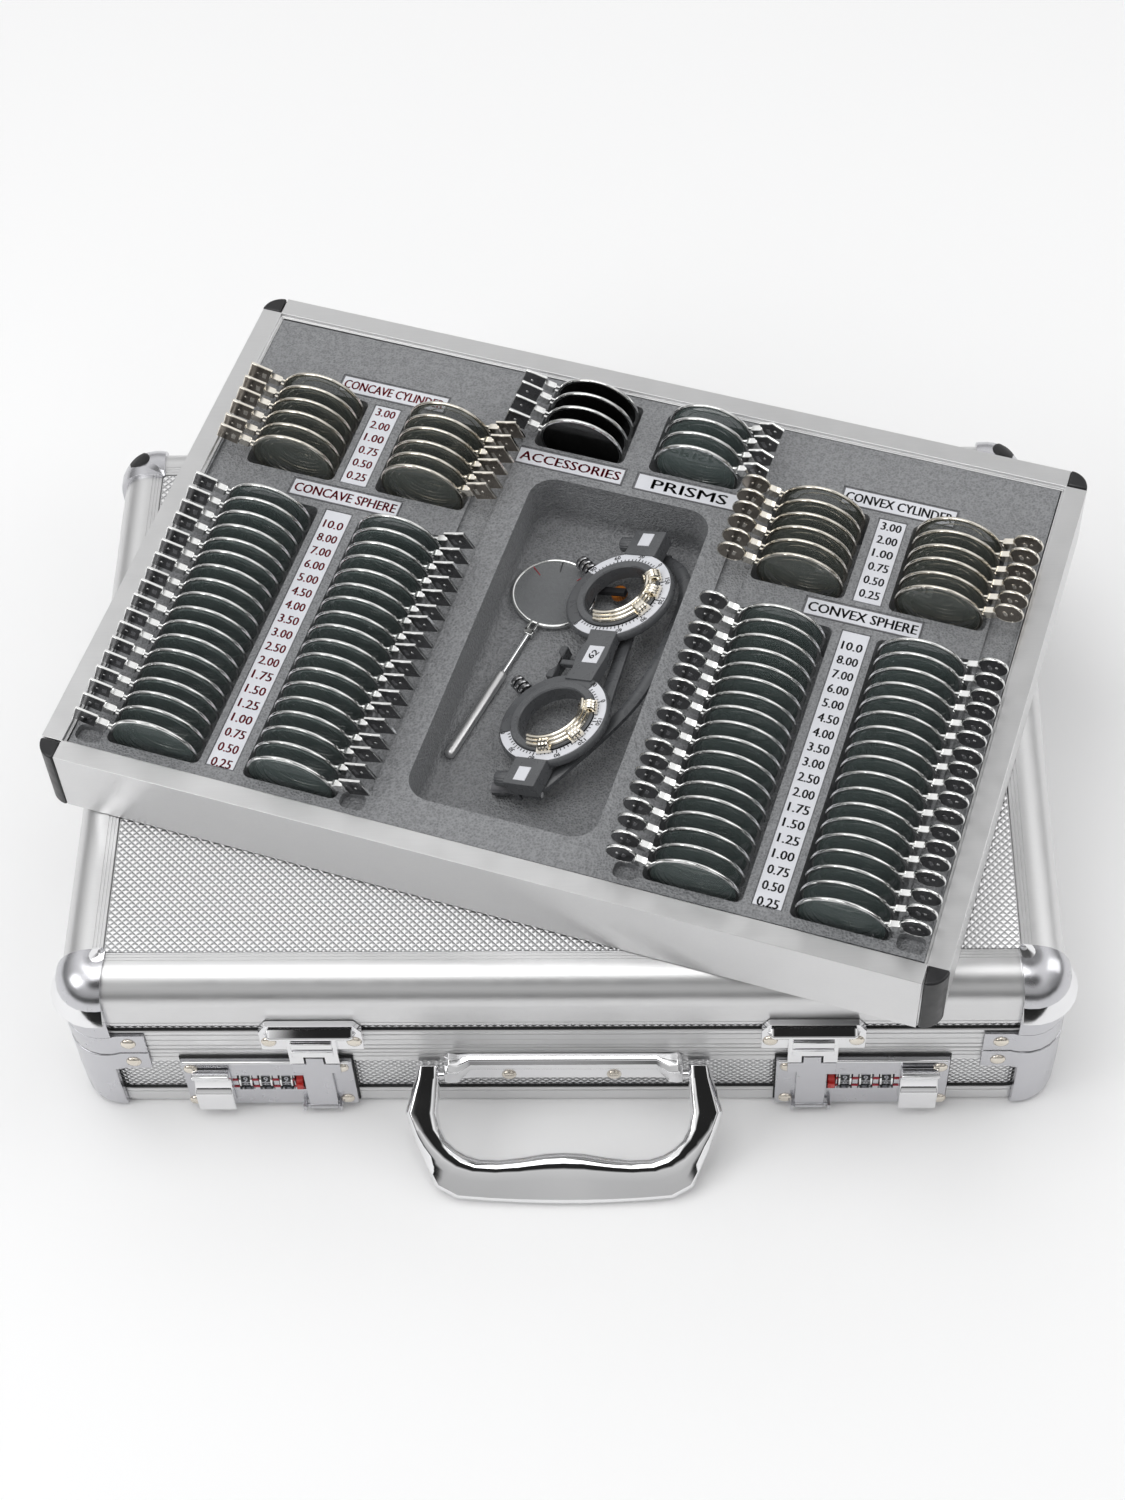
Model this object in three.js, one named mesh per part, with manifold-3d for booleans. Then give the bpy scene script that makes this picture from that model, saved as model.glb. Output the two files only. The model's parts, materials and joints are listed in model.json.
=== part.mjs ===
// Trial lens set: an aluminium attache case with the framed lens tray lying on its closed lid.
// Millimetres, +Z up, +X to the right, +Y to the back. The origin is the middle of the case's bottom face.

import * as THREE from 'three';
import { mergeVertices } from 'three/addons/utils/BufferGeometryUtils.js';
import Module from 'manifold-3d';

const wasm = await Module();
wasm.setup();

// ---- Driving dimensions ------------------------------------------------------------------------

const CASE_WIDTH = 405;          // outside, over the aluminium profiles
const CASE_DEPTH = 287;
const CASE_HEIGHT = 94;
const SPLIT_HEIGHT = 46.5;       // where lid and base meet
const CORNER_RADIUS = 20;        // of the profiles, seen from above
const CORNER_STEPS = 4;
const GAP = 0.3;                 // between pieces that touch
const LINING_INSET = 9.5;        // from the outside to the inner wall of the case
const SHEET_INSET = 1.5;         // the embossed side sheets lie behind the profiles
const REBATE_INSET = 5.3;        // where a profile wraps around the board
const PROFILE_INNER = 5.0;       // inner side of a wrapping profile
const PANEL_INSET = 18.6;        // edge of the embossed top panel
const LID_EDGE_RADIUS = 13;      // round of the lid profile
const LID_CEILING = 87;          // underside of the lid's board
const CAP_PROUD = 1.8;           // outer side of the corner caps
const CAP_REACH = 18.4;          // how far a corner cap covers each side
const CAP_ARM = 31;              // reach of its riveted arm
const CAP_ROUND = 12;            // outer corner radius of a cap, which bulges beyond the profiles

const HINGE_X = 110;
const HINGE_AXIS_OUT = 3.1;      // hinge axis behind the case's back

const LOCK_PLATE = [87.6, 158.6];
const LOCK_AXIS_HEIGHT = 22.5;   // number wheels
const LOCK_AXIS_OUT = -2.2;      // behind the case's front
const WHEEL_X = [116.3, 124.9, 133.4];
const WHEEL_RADIUS = 5.5;
const WHEEL_WIDTH = 5.6;
const LEVER_X = 110.7;
const HASP_X = 102;
const HASP_HINGE_HEIGHT = 5.8;
const HASP_HINGE_OUT = 4.6;

const HANDLE_PIVOT_HEIGHT = 33.5;
const HANDLE_PIVOT_OUT = 5.2;
const HANDLE_DROOP = 33.8;       // degrees below level, grip on the table
const HANDLE_THICKNESS = 9;

const TRAY_WIDTH = 380;
const TRAY_DEPTH = 264.8;
const TRAY_HEIGHT = 34.3;
const TRAY_TURN = -17.2;         // degrees about Z, as it lies on the lid
const TRAY_X = 5.9;
const TRAY_Y = 19.5;
const RAIL_WIDTH = 9;
const RAIL_WALL = 1.5;
const CAP_SQUARE = 8.7;          // corner of the tray frame that its plastic cap fills
const INSERT_TOP = 32.3;
const SHEET = 1.5;
const POCKET_FLOOR = 10.5;
const TROUGH_FLOOR = 4.3;

const LENS_RADIUS = 19;
const LENS_THICKNESS = 2.4;
const LENS_CENTRE_HEIGHT = 32;
const LENS_LEAN = 7;              // degrees that each lens leans to the front
const HANDLE_RISE = 20;          // degrees that each lens tab points up
const OUTER_COLUMN_X = 144.6;
const INNER_COLUMN_X = 84.6;
const MIDDLE_COLUMN_X = 26.2;
const CYLINDER_ROWS = { first: 82, pitch: 7.5, count: 6 };
const SPHERE_ROWS = { first: 16, pitch: 7.6, count: 18 };
const MIDDLE_ROWS = { first: 112.4, pitch: 8, count: 4 };

const FRAME_MIDDLE = [9.25, -13.4, 21];   // trial frame in the trough, tray coordinates
const FRAME_TURN = -5.5;                  // degrees about Z
const FRAME_TILT = -20;                   // degrees about its long axis
const EYE_SPACING = 69;
const EYE_OUTER = 24.5;
const EYE_INNER = 17.5;

const CROSS_LENS = [-19, 25.5];           // hand-held cross cylinder, tray coordinates
const CROSS_GRIP_END = [-35.1, -68.5];
const CROSS_RADIUS = 18.4;

// ---- Materials ---------------------------------------------------------------------------------

function finish(color, roughness, metalness) {
  return new THREE.MeshStandardMaterial({ color, roughness, metalness });
}

const SATIN = finish(0xc9cacc, 0.4, 0.9);
const EMBOSSED = finish(0xd4d5d6, 0.35, 0.9);
const CHROME = finish(0xe6e7e8, 0.1, 1);
const BOARD = finish(0x2b2b2d, 0.9, 0);
const BLACK_PLASTIC = finish(0x1a1a1b, 0.5, 0);
const GREY_PLASTIC = finish(0x77787b, 0.75, 0);
const FRAME_PLASTIC = finish(0x6a6d70, 0.5, 0);
const RED = finish(0xb02420, 0.45, 0);
const LENS_STEEL = finish(0xa9b3b0, 0.2, 0.8);
const LENS_BRASS = finish(0xc4b48f, 0.25, 0.8);
const LENS_BLACK = finish(0x0c0c0d, 0.3, 0.2);

// ---- Solids ------------------------------------------------------------------------------------

function solid(geometry) {
  const bare = geometry.clone();
  bare.deleteAttribute('normal');
  bare.deleteAttribute('uv');
  const merged = mergeVertices(bare, 1e-4);
  return new wasm.Manifold(new wasm.Mesh({
    numProp: 3,
    vertProperties: new Float32Array(merged.attributes.position.array),
    triVerts: new Uint32Array(merged.index.array),
  }));
}

function geometryOf(body) {
  const mesh = body.getMesh();
  const geometry = new THREE.BufferGeometry();
  geometry.setAttribute('position', new THREE.BufferAttribute(new Float32Array(mesh.vertProperties), 3));
  geometry.setIndex(new THREE.BufferAttribute(new Uint32Array(mesh.triVerts), 1));
  geometry.computeVertexNormals();
  return geometry;
}

function join(bodies) {
  return bodies.reduce((whole, body) => whole.add(body));
}

function cut(body, tools) {
  return tools.reduce((rest, tool) => rest.subtract(tool), body);
}

function node(group, name, body, material) {
  const mesh = new THREE.Mesh(geometryOf(body), material);
  mesh.name = name;
  group.add(mesh);
  return mesh;
}

// A block between two corners.
function block(xs, ys, zs) {
  const geometry = new THREE.BoxGeometry(xs[1] - xs[0], ys[1] - ys[0], zs[1] - zs[0]);
  geometry.translate((xs[0] + xs[1]) / 2, (ys[0] + ys[1]) / 2, (zs[0] + zs[1]) / 2);
  return solid(geometry);
}

// A round bar along X.
function barX(radius, xs, y, z, sides = 12) {
  const geometry = new THREE.CylinderGeometry(radius, radius, xs[1] - xs[0], sides);
  geometry.rotateZ(Math.PI / 2);
  geometry.translate((xs[0] + xs[1]) / 2, y, z);
  return solid(geometry);
}

// A ring or disc about Z; an inner radius of 0 makes a disc.
function ringZ(inner, outer, zs, x, y, sides = 24) {
  const low = zs[0];
  const high = zs[1];
  const profile = inner > 0
    ? [[inner, low], [outer, low], [outer, high], [inner, high], [inner, low]]
    : [[0, low], [outer, low], [outer, high], [0, high]];
  const geometry = new THREE.LatheGeometry(profile.map(([r, z]) => new THREE.Vector2(r, z)), sides);
  geometry.rotateX(Math.PI / 2);
  geometry.translate(x, y, 0);
  return solid(geometry);
}

// A closed body through rounded rectangles, one per level of [height, inset].
function loft(levels, halfX, halfY, radius) {
  const positions = [];
  const index = [];
  const count = 4 * (CORNER_STEPS + 1);
  for (const [z, inset] of levels) {
    const corner = Math.max(radius - inset, 0.6);
    const reachX = halfX - inset - corner;
    const reachY = halfY - inset - corner;
    for (let quarter = 0; quarter < 4; quarter++) {
      const signX = quarter === 0 || quarter === 3 ? 1 : -1;
      const signY = quarter < 2 ? 1 : -1;
      for (let step = 0; step <= CORNER_STEPS; step++) {
        const angle = (quarter + step / CORNER_STEPS) * Math.PI / 2;
        positions.push(signX * reachX + corner * Math.cos(angle));
        positions.push(signY * reachY + corner * Math.sin(angle));
        positions.push(z);
      }
    }
  }
  for (let level = 0; level + 1 < levels.length; level++) {
    for (let k = 0; k < count; k++) {
      const a = level * count + k;
      const b = level * count + (k + 1) % count;
      index.push(a, b, b + count, a, b + count, a + count);
    }
  }
  const top = (levels.length - 1) * count;
  for (let k = 1; k + 1 < count; k++) {
    index.push(0, k + 1, k);
    index.push(top, top + k, top + k + 1);
  }
  const geometry = new THREE.BufferGeometry();
  geometry.setAttribute('position', new THREE.BufferAttribute(new Float32Array(positions), 3));
  geometry.setIndex(index);
  return solid(geometry);
}

function caseLoft(levels, radius = CORNER_RADIUS) {
  return loft(levels, CASE_WIDTH / 2, CASE_DEPTH / 2, radius);
}

function casePrism(inset, low, high) {
  return caseLoft([[low, inset], [high, inset]]);
}

// The X or Y range between two distances from the middle, on one side of it.
function across(side, from, to) {
  return [side * from, side * to].sort((a, b) => a - b);
}

// An outline in the XZ plane, extruded along Y from front to back.
function slabXZ(points, front, back) {
  const shape = new THREE.Shape(points.map(([x, z]) => new THREE.Vector2(x, z)));
  const geometry = new THREE.ExtrudeGeometry(shape, { depth: back - front, bevelEnabled: false });
  geometry.rotateX(Math.PI / 2);
  geometry.translate(0, back, 0);
  return solid(geometry);
}

// An outline in the XY plane, extruded along Z.
function slabXY(points, low, high) {
  const shape = new THREE.Shape(points.map(([x, y]) => new THREE.Vector2(x, y)));
  const geometry = new THREE.ExtrudeGeometry(shape, { depth: high - low, bevelEnabled: false });
  geometry.translate(0, 0, low);
  return solid(geometry);
}

// Distance in front of the case's front face, as a Y coordinate.
function out(distance) {
  return -(CASE_DEPTH / 2 + distance);
}

// ---- Case base ---------------------------------------------------------------------------------

const BOTTOM_PROFILE_TOP = 12;
const RIM_PROFILE_BOTTOM = 36.5;
const RIM_CLEARANCE = 0.3;

function baseShell() {
  const body = join([
    casePrism(REBATE_INSET, 0, BOTTOM_PROFILE_TOP + 1),
    casePrism(SHEET_INSET, BOTTOM_PROFILE_TOP + GAP, RIM_PROFILE_BOTTOM - GAP),
  ]);
  const cavity = casePrism(LINING_INSET, 4, SPLIT_HEIGHT);
  const lockHeights = [LOCK_AXIS_HEIGHT - 7, LOCK_AXIS_HEIGHT + 7];
  const lockPockets = [-1, 1].map((side) => block(across(side, 105.5, 140), [out(1), out(-8.7)], lockHeights));
  return cut(body, [cavity, ...lockPockets]);
}

function baseBottomProfile() {
  const outer = caseLoft([[0, 2], [2.5, 0], [BOTTOM_PROFILE_TOP, 0]]);
  return outer.subtract(casePrism(PROFILE_INNER, -1, BOTTOM_PROFILE_TOP + 1));
}

function rimProfile(low, high) {
  return casePrism(0, low, high).subtract(casePrism(LINING_INSET, low - 1, high + 1));
}

// The corner piece of a cap shell: a square over the corner, and one riveted arm along each side.
function cornerRegion(signX, signY, squareZ, armZ) {
  const farX = CASE_WIDTH / 2 + 5;
  const farY = CASE_DEPTH / 2 + 5;
  const span = (sign, far, reach, half) => across(sign, half - reach, far);
  const square = block(
    span(signX, farX, CAP_REACH, CASE_WIDTH / 2),
    span(signY, farY, CAP_REACH, CASE_DEPTH / 2),
    squareZ,
  );
  const armX = block(
    span(signX, farX, CAP_ARM, CASE_WIDTH / 2),
    span(signY, farY, 3, CASE_DEPTH / 2),
    armZ,
  );
  const armY = block(
    span(signX, farX, 3, CASE_WIDTH / 2),
    span(signY, farY, CAP_ARM, CASE_DEPTH / 2),
    armZ,
  );
  return join([square, armX, armY]);
}

function baseCapShell() {
  const levels = (proud) => [[0, 2 - proud], [2.5, -proud], [SPLIT_HEIGHT - 0.4, -proud]];
  const inner = (proud) => [[-1, 2 - proud], [0, 2 - proud], [2.5, -proud], [SPLIT_HEIGHT + 1, -proud]];
  return caseLoft(levels(CAP_PROUD), CAP_ROUND).subtract(caseLoft(inner(GAP)));
}

function lidLevels(proud, low) {
  const levels = [[low, -proud]];
  const steps = 4;
  for (let step = 0; step <= steps; step++) {
    const angle = step / steps * Math.PI / 2;
    const radius = LID_EDGE_RADIUS + proud;
    const z = CASE_HEIGHT - LID_EDGE_RADIUS + radius * Math.sin(angle);
    levels.push([z, LID_EDGE_RADIUS - radius * Math.cos(angle)]);
  }
  return levels;
}

function lidCapShell() {
  const outer = caseLoft(lidLevels(CAP_PROUD, SPLIT_HEIGHT + 0.4), CAP_ROUND);
  return outer.subtract(caseLoft(lidLevels(GAP, SPLIT_HEIGHT - 1)));
}

const CORNERS = [
  ['front_left', -1, -1],
  ['front_right', 1, -1],
  ['back_left', -1, 1],
  ['back_right', 1, 1],
];

// ---- Hinges ------------------------------------------------------------------------------------

const HINGE_HALF = 20;
const KNUCKLE_HALF = 7;
const KNUCKLE_RADIUS = 2.8;
const HINGE_Y = CASE_DEPTH / 2 + HINGE_AXIS_OUT;
const LEAF_Y = [CASE_DEPTH / 2 + GAP, CASE_DEPTH / 2 + GAP + 1.2];

function hingeBaseLeaf(x) {
  const knuckle = (from, to) => barX(KNUCKLE_RADIUS, [x + from, x + to], HINGE_Y, SPLIT_HEIGHT);
  const clear = block(
    [x - KNUCKLE_HALF - GAP, x + KNUCKLE_HALF + GAP],
    [LEAF_Y[0] - 1, HINGE_Y + 4],
    [SPLIT_HEIGHT - KNUCKLE_RADIUS - 0.5, SPLIT_HEIGHT + 5],
  );
  const plate = block([x - HINGE_HALF, x + HINGE_HALF], LEAF_Y, [33, SPLIT_HEIGHT - 1]);
  const pin = barX(1.2, [x - HINGE_HALF, x + HINGE_HALF], HINGE_Y, SPLIT_HEIGHT, 12);
  const leaf = join([
    plate,
    knuckle(-HINGE_HALF, -KNUCKLE_HALF - GAP),
    knuckle(KNUCKLE_HALF + GAP, HINGE_HALF),
  ]);
  return leaf.subtract(clear).add(pin);
}

function hingeLidLeaf(x) {
  const plate = block([x - HINGE_HALF, x + HINGE_HALF], LEAF_Y, [SPLIT_HEIGHT + 1.1, 59]);
  const clearances = [[-HINGE_HALF - 1, -KNUCKLE_HALF], [KNUCKLE_HALF, HINGE_HALF + 1]].map(([from, to]) =>
    block([x + from, x + to], [LEAF_Y[0] - 1, HINGE_Y + 4], [40, SPLIT_HEIGHT + KNUCKLE_RADIUS + 0.5]));
  const knuckle = barX(KNUCKLE_RADIUS, [x - KNUCKLE_HALF, x + KNUCKLE_HALF], HINGE_Y, SPLIT_HEIGHT);
  const bore = barX(1.5, [x - HINGE_HALF, x + HINGE_HALF], HINGE_Y, SPLIT_HEIGHT, 12);
  return cut(plate, clearances).add(knuckle).subtract(bore);
}

// ---- Handle ------------------------------------------------------------------------------------

function handleBracket() {
  const half = 49.2;
  const outline = [
    [-half, 25], [-44, 24], [-36, 29], [36, 29], [44, 24], [half, 25], [half, 40], [46, 42], [-46, 42], [-half, 40],
  ];
  const bar = slabXZ(outline, out(8.2), out(GAP));
  const seats = [-1, 1].map((side) =>
    barX(2.4, across(side, 44, 51), out(HANDLE_PIVOT_OUT), HANDLE_PIVOT_HEIGHT, 12));
  return cut(bar, seats);
}

// The bail, flat in its own plane: X across, Y away from the pivot, then hung on the pivot.
function handleBail() {
  const outer = [[51.3, 0], [61, 0], [65.5, 15], [63, 25], [53, 47], [46, 52]];
  const inner = [[22, 34.5], [38, 35.5], [47, 30], [52.4, 15]];
  const mirrored = (points) => points.map(([x, y]) => [-x, y]).reverse();
  const outline = [...outer, [0, 53], ...mirrored(outer), ...mirrored(inner), [0, 31], ...inner];
  const bail = slabXY(outline.map(([x, y]) => [x, -y]), -HANDLE_THICKNESS / 2, HANDLE_THICKNESS / 2);
  const eyes = [-1, 1].map((side) => barX(HANDLE_THICKNESS / 2, across(side, 51.3, 61), 0, 0));
  const pins = [-1, 1].map((side) => barX(2, across(side, 46, 53), 0, 0, 12));
  return join([bail, ...eyes, ...pins]);
}

// ---- Locks -------------------------------------------------------------------------------------

function lockPlate(side) {
  const plate = block(across(side, ...LOCK_PLATE), [out(2.8), out(GAP)], [4, 40.5]);
  const wheelWindows = WHEEL_X.map((x) =>
    block(across(side, x - 3.2, x + 3.2), [out(4), out(-1)], [LOCK_AXIS_HEIGHT - 6.2, LOCK_AXIS_HEIGHT + 6.2]));
  const leverWindow = block(across(side, LEVER_X - 1.9, LEVER_X + 1.9), [out(4), out(-1)], [16.3, 28.7]);
  const lugs = [[106.2, 107.6], [137.8, 139.2]].map(([from, to]) =>
    block(across(side, from, to), [out(0.6), out(-3.6)], [LOCK_AXIS_HEIGHT - 1.5, LOCK_AXIS_HEIGHT + 1.5]));
  const axle = barX(0.9, across(side, 106.2, 139.2), out(LOCK_AXIS_OUT), LOCK_AXIS_HEIGHT, 10);
  const ears = [[94.2, 95.6], [109.4, 110.9]].map(([from, to]) =>
    block(across(side, from, to), [out(6.4), out(2.5)], [4, 7.6]));
  const earHole = barX(1.1, across(side, 94, 111.2), out(HASP_HINGE_OUT), HASP_HINGE_HEIGHT, 10);
  const body = cut(plate, [...wheelWindows, leverWindow]);
  return join([body, ...ears]).subtract(earHole).add(join([...lugs, axle]));
}

function numberWheel(side, x) {
  const xs = across(side, x - WHEEL_WIDTH / 2, x + WHEEL_WIDTH / 2);
  const wheel = barX(WHEEL_RADIUS, xs, out(LOCK_AXIS_OUT), LOCK_AXIS_HEIGHT, 16);
  const bore = barX(1.2, [xs[0] - 1, xs[1] + 1], out(LOCK_AXIS_OUT), LOCK_AXIS_HEIGHT, 10);
  return wheel.subtract(bore);
}

function resetLever(side) {
  const xs = across(side, LEVER_X - 1.5, LEVER_X + 1.5);
  const hub = barX(WHEEL_RADIUS, xs, out(LOCK_AXIS_OUT), LOCK_AXIS_HEIGHT, 16);
  const nub = block(xs, [out(4.6), out(1)], [LOCK_AXIS_HEIGHT - 3, LOCK_AXIS_HEIGHT + 1]);
  const bore = barX(1.2, [xs[0] - 1, xs[1] + 1], out(LOCK_AXIS_OUT), LOCK_AXIS_HEIGHT, 10);
  return hub.add(nub).subtract(bore);
}

function releaseButton(side) {
  const body = block(across(side, 138.9, 154.6), [out(7.6), out(3.1)], [7, 35]);
  const scoop = barX(8, across(side, 130, 160), out(12.6), 27, 24);
  return body.subtract(scoop);
}

function hasp(side) {
  const sheetY = [out(5.1), out(3.1)];
  const arm = block(across(side, HASP_X - 6.1, HASP_X + 6.1), sheetY, [HASP_HINGE_HEIGHT, 36]);
  const head = block(across(side, HASP_X - 10, HASP_X + 10), sheetY, [35, 42.5]);
  const tab = block(across(side, HASP_X - 3.6, HASP_X + 3.6), sheetY, [42, 47.5]);
  const knuckle = barX(1.5, across(side, HASP_X - 6.1, HASP_X + 6.1), out(HASP_HINGE_OUT), HASP_HINGE_HEIGHT, 12);
  const pin = barX(0.8, across(side, HASP_X - 7.6, HASP_X + 8.6), out(HASP_HINGE_OUT), HASP_HINGE_HEIGHT, 10);
  return join([arm, head, tab, knuckle, pin]);
}

function lockCatch(side) {
  const from = HASP_X - 21;
  const to = HASP_X + 21;
  const outline = [[from + 3, 71], [to - 3, 71], [to, 66], [to, 52], [from, 52], [from, 66]];
  const placed = outline.map(([x, z]) => [side * x, z]);
  const bracket = slabXZ(placed, out(3.1), out(GAP));
  const tongue = block(across(side, HASP_X - 10.2, HASP_X + 10.2), [out(5.1), out(2.9)], [43.3, 64]);
  const notch = block(across(side, HASP_X - 4.4, HASP_X + 4.4), [out(6), out(2)], [40, 48.6]);
  return bracket.add(tongue).subtract(notch);
}

// ---- Tray --------------------------------------------------------------------------------------

function trayFrame() {
  const halfX = TRAY_WIDTH / 2;
  const halfY = TRAY_DEPTH / 2;
  const ringBlock = (inset, low, high) =>
    block([-halfX + inset, halfX - inset], [-halfY + inset, halfY - inset], [low, high]);
  const inner = RAIL_WIDTH + 1.2;
  const ring = ringBlock(0, 0, TRAY_HEIGHT).subtract(ringBlock(inner, -1, TRAY_HEIGHT + 1));
  const visibleEdge = ringBlock(RAIL_WIDTH, INSERT_TOP + GAP, TRAY_HEIGHT + 1);
  const channelTop = TRAY_HEIGHT - RAIL_WALL;
  const channel = ringBlock(RAIL_WALL, -1, channelTop).subtract(ringBlock(RAIL_WIDTH - 0.3, -2, channelTop + 1));
  const corners = CORNERS.map(([, signX, signY]) => {
    const xs = across(signX, halfX - CAP_SQUARE, halfX + 1);
    const ys = across(signY, halfY - CAP_SQUARE, halfY + 1);
    return block(xs, ys, [-1, TRAY_HEIGHT + 1]);
  });
  return cut(ring, [visibleEdge, channel, ...corners]);
}

function trayCap(signX, signY) {
  const radius = CAP_SQUARE - GAP;
  const points = [[0, 0]];
  const steps = 8;
  for (let step = 0; step <= steps; step++) {
    const angle = step / steps * Math.PI / 2;
    points.push([radius * Math.cos(angle), radius * Math.sin(angle)]);
  }
  const x = TRAY_WIDTH / 2 - radius;
  const y = TRAY_DEPTH / 2 - radius;
  return slabXY(points.map(([u, v]) => [signX * (x + u), signY * (y + v)]), 0, TRAY_HEIGHT);
}

const POCKET_HALF = 20.5;
const POCKETS = [
  ...[-OUTER_COLUMN_X, -INNER_COLUMN_X, INNER_COLUMN_X, OUTER_COLUMN_X].flatMap((x) => [
    [x, -117, 23],
    [x, 38.5, 86],
  ]),
  [-MIDDLE_COLUMN_X, 83, 117],
  [MIDDLE_COLUMN_X, 83, 117],
];
const CHANNELS = [[-178.9, -166.5], [-63, -51.5], [52, 63], [166.5, 178.9]];
const CHANNEL_FLOOR = 29.4;

function trayInsert() {
  const halfX = TRAY_WIDTH / 2 - RAIL_WIDTH - 1.2 - GAP;
  const halfY = TRAY_DEPTH / 2 - RAIL_WIDTH - 1.2 - GAP;
  const tops = block([-halfX, halfX], [-halfY, halfY], [INSERT_TOP - SHEET, INSERT_TOP]);
  const pocket = ([x, y0, y1], grow, low) =>
    block([x - POCKET_HALF - grow, x + POCKET_HALF + grow], [y0 - grow, y1 + grow], [low, INSERT_TOP + (grow ? 0 : 1)]);
  const channel = ([x0, x1], grow, low) =>
    block([x0 - grow, x1 + grow], [-119.3 - grow, 86 + grow], [low, INSERT_TOP + (grow ? 0 : 1)]);
  const trough = (grow, low) =>
    loft([[low, -grow], [INSERT_TOP + (grow ? 0 : 1), -grow]], 40.2, 86.9, 10).translate([0.5, -19.8, 0]);
  const skins = [
    ...POCKETS.map((place) => pocket(place, SHEET, POCKET_FLOOR - SHEET)),
    ...CHANNELS.map((place) => channel(place, 0.6, CHANNEL_FLOOR - SHEET)),
    trough(SHEET, TROUGH_FLOOR - SHEET),
  ];
  const hollows = [
    ...POCKETS.map((place) => pocket(place, 0, POCKET_FLOOR)),
    ...CHANNELS.map((place) => channel(place, 0, CHANNEL_FLOOR)),
    trough(0, TROUGH_FLOOR),
  ];
  return cut(join([tops, ...skins]), hollows);
}

// ---- Lenses ------------------------------------------------------------------------------------

const NECK_HALF = 2;
const TAB_NEAR = 26;
const TAB_FAR = 34.5;
const TAB_HALF = 6;
const ROUND_TAB_CENTRE = 31.5;
const ROUND_TAB_RADIUS = 6.5;

// Lens, neck and tab as one outline, with the tab along +X before it is turned.
function lensOutline(roundTab) {
  const points = [];
  const start = Math.asin(NECK_HALF / LENS_RADIUS);
  const steps = 9;
  for (let step = 0; step <= steps; step++) {
    const angle = start + (2 * Math.PI - 2 * start) * step / steps;
    points.push([LENS_RADIUS * Math.cos(angle), LENS_RADIUS * Math.sin(angle)]);
  }
  if (roundTab) {
    const open = Math.asin(NECK_HALF / ROUND_TAB_RADIUS);
    const tabSteps = 5;
    for (let step = 0; step <= tabSteps; step++) {
      const angle = -Math.PI + open + (2 * Math.PI - 2 * open) * step / tabSteps;
      points.push([ROUND_TAB_CENTRE + ROUND_TAB_RADIUS * Math.cos(angle), ROUND_TAB_RADIUS * Math.sin(angle)]);
    }
  } else {
    points.push([TAB_NEAR, -NECK_HALF], [TAB_NEAR, -TAB_HALF], [TAB_FAR, -TAB_HALF]);
    points.push([TAB_FAR, TAB_HALF], [TAB_NEAR, TAB_HALF], [TAB_NEAR, NECK_HALF]);
  }
  return points;
}

// One column of lenses. A thin keel under the rims keeps the column one body, so it lifts as a set.
function lensColumn(x, rows, tabSide, roundTab) {
  const turn = tabSide > 0 ? HANDLE_RISE : 180 - HANDLE_RISE;
  const angle = THREE.MathUtils.degToRad(turn);
  const outline = lensOutline(roundTab).map(([u, v]) => [
    u * Math.cos(angle) - v * Math.sin(angle),
    u * Math.sin(angle) + v * Math.cos(angle),
  ]);
  const upright = slabXZ(outline, -LENS_THICKNESS / 2, LENS_THICKNESS / 2);
  const leaning = upright.rotate([LENS_LEAN, 0, 0]);
  const lenses = [];
  for (let row = 0; row < rows.count; row++) {
    const y = rows.first - row * rows.pitch;
    lenses.push(leaning.translate([x, y, LENS_CENTRE_HEIGHT]));
  }
  const last = rows.first - (rows.count - 1) * rows.pitch;
  const keelTop = LENS_CENTRE_HEIGHT - LENS_RADIUS + 1.6;
  const foot = LENS_RADIUS * Math.sin(THREE.MathUtils.degToRad(LENS_LEAN));
  const keel = block([x - 1.5, x + 1.5], [last + foot - 1.1, rows.first + foot + 1.1], [POCKET_FLOOR + 0.5, keelTop]);
  return join([...lenses, keel]);
}

// ---- Trial frame and cross cylinder ------------------------------------------------------------

const EYE_THICKNESS = 5;
const TEMPLE_HINGE = 67.5;

function trialFrameFront() {
  const half = EYE_THICKNESS / 2;
  const eyes = [-1, 1].map((side) => ringZ(0, EYE_OUTER, [-half, half], 0, side * EYE_SPACING / 2));
  const openings = [-1, 1].map((side) => ringZ(0, EYE_INNER, [-10, 10], 0, side * EYE_SPACING / 2));
  const bridge = block([-5, 9], [-14, 14], [-half, half + 1]);
  const ends = [-1, 1].map((side) =>
    block([-7, 8], across(side, EYE_SPACING / 2 + EYE_OUTER - 2, TEMPLE_HINGE + 3.5), [-4, 3.5]));
  const lugs = [-1, 1].map((side) =>
    block([-5.5, -2.5], across(side, TEMPLE_HINGE - 3, TEMPLE_HINGE + 3), [side > 0 ? -13 : -9, -3]));
  const body = cut(join([...eyes, bridge]), openings);
  return join([body, ...ends, ...lugs]);
}

function trialFrameCell(side) {
  const y = side * EYE_SPACING / 2;
  const sleeve = ringZ(15, EYE_INNER - GAP, [-3.4, 3.2], 0, y);
  const flange = ringZ(15, 20, [2.9, 4.2], 0, y);
  const clip = block([-1.8, 1.8], [y + 15.3, y + 19.8], [3.5, 8]);
  return join([sleeve, flange, clip]);
}

// A folded temple. Each route runs from the hinge to the ear end, under the right-hand edge of the eyes.
const TEMPLES = {
  back: { depth: -11, route: [[2, TEMPLE_HINGE], [21, 44], [21, -12], [0, -62]] },
  front: { depth: -7, route: [[2, -TEMPLE_HINGE], [14, -42], [12, -8], [5, 42]] },
};
const TEMPLE_HALF = 1.8;

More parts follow.
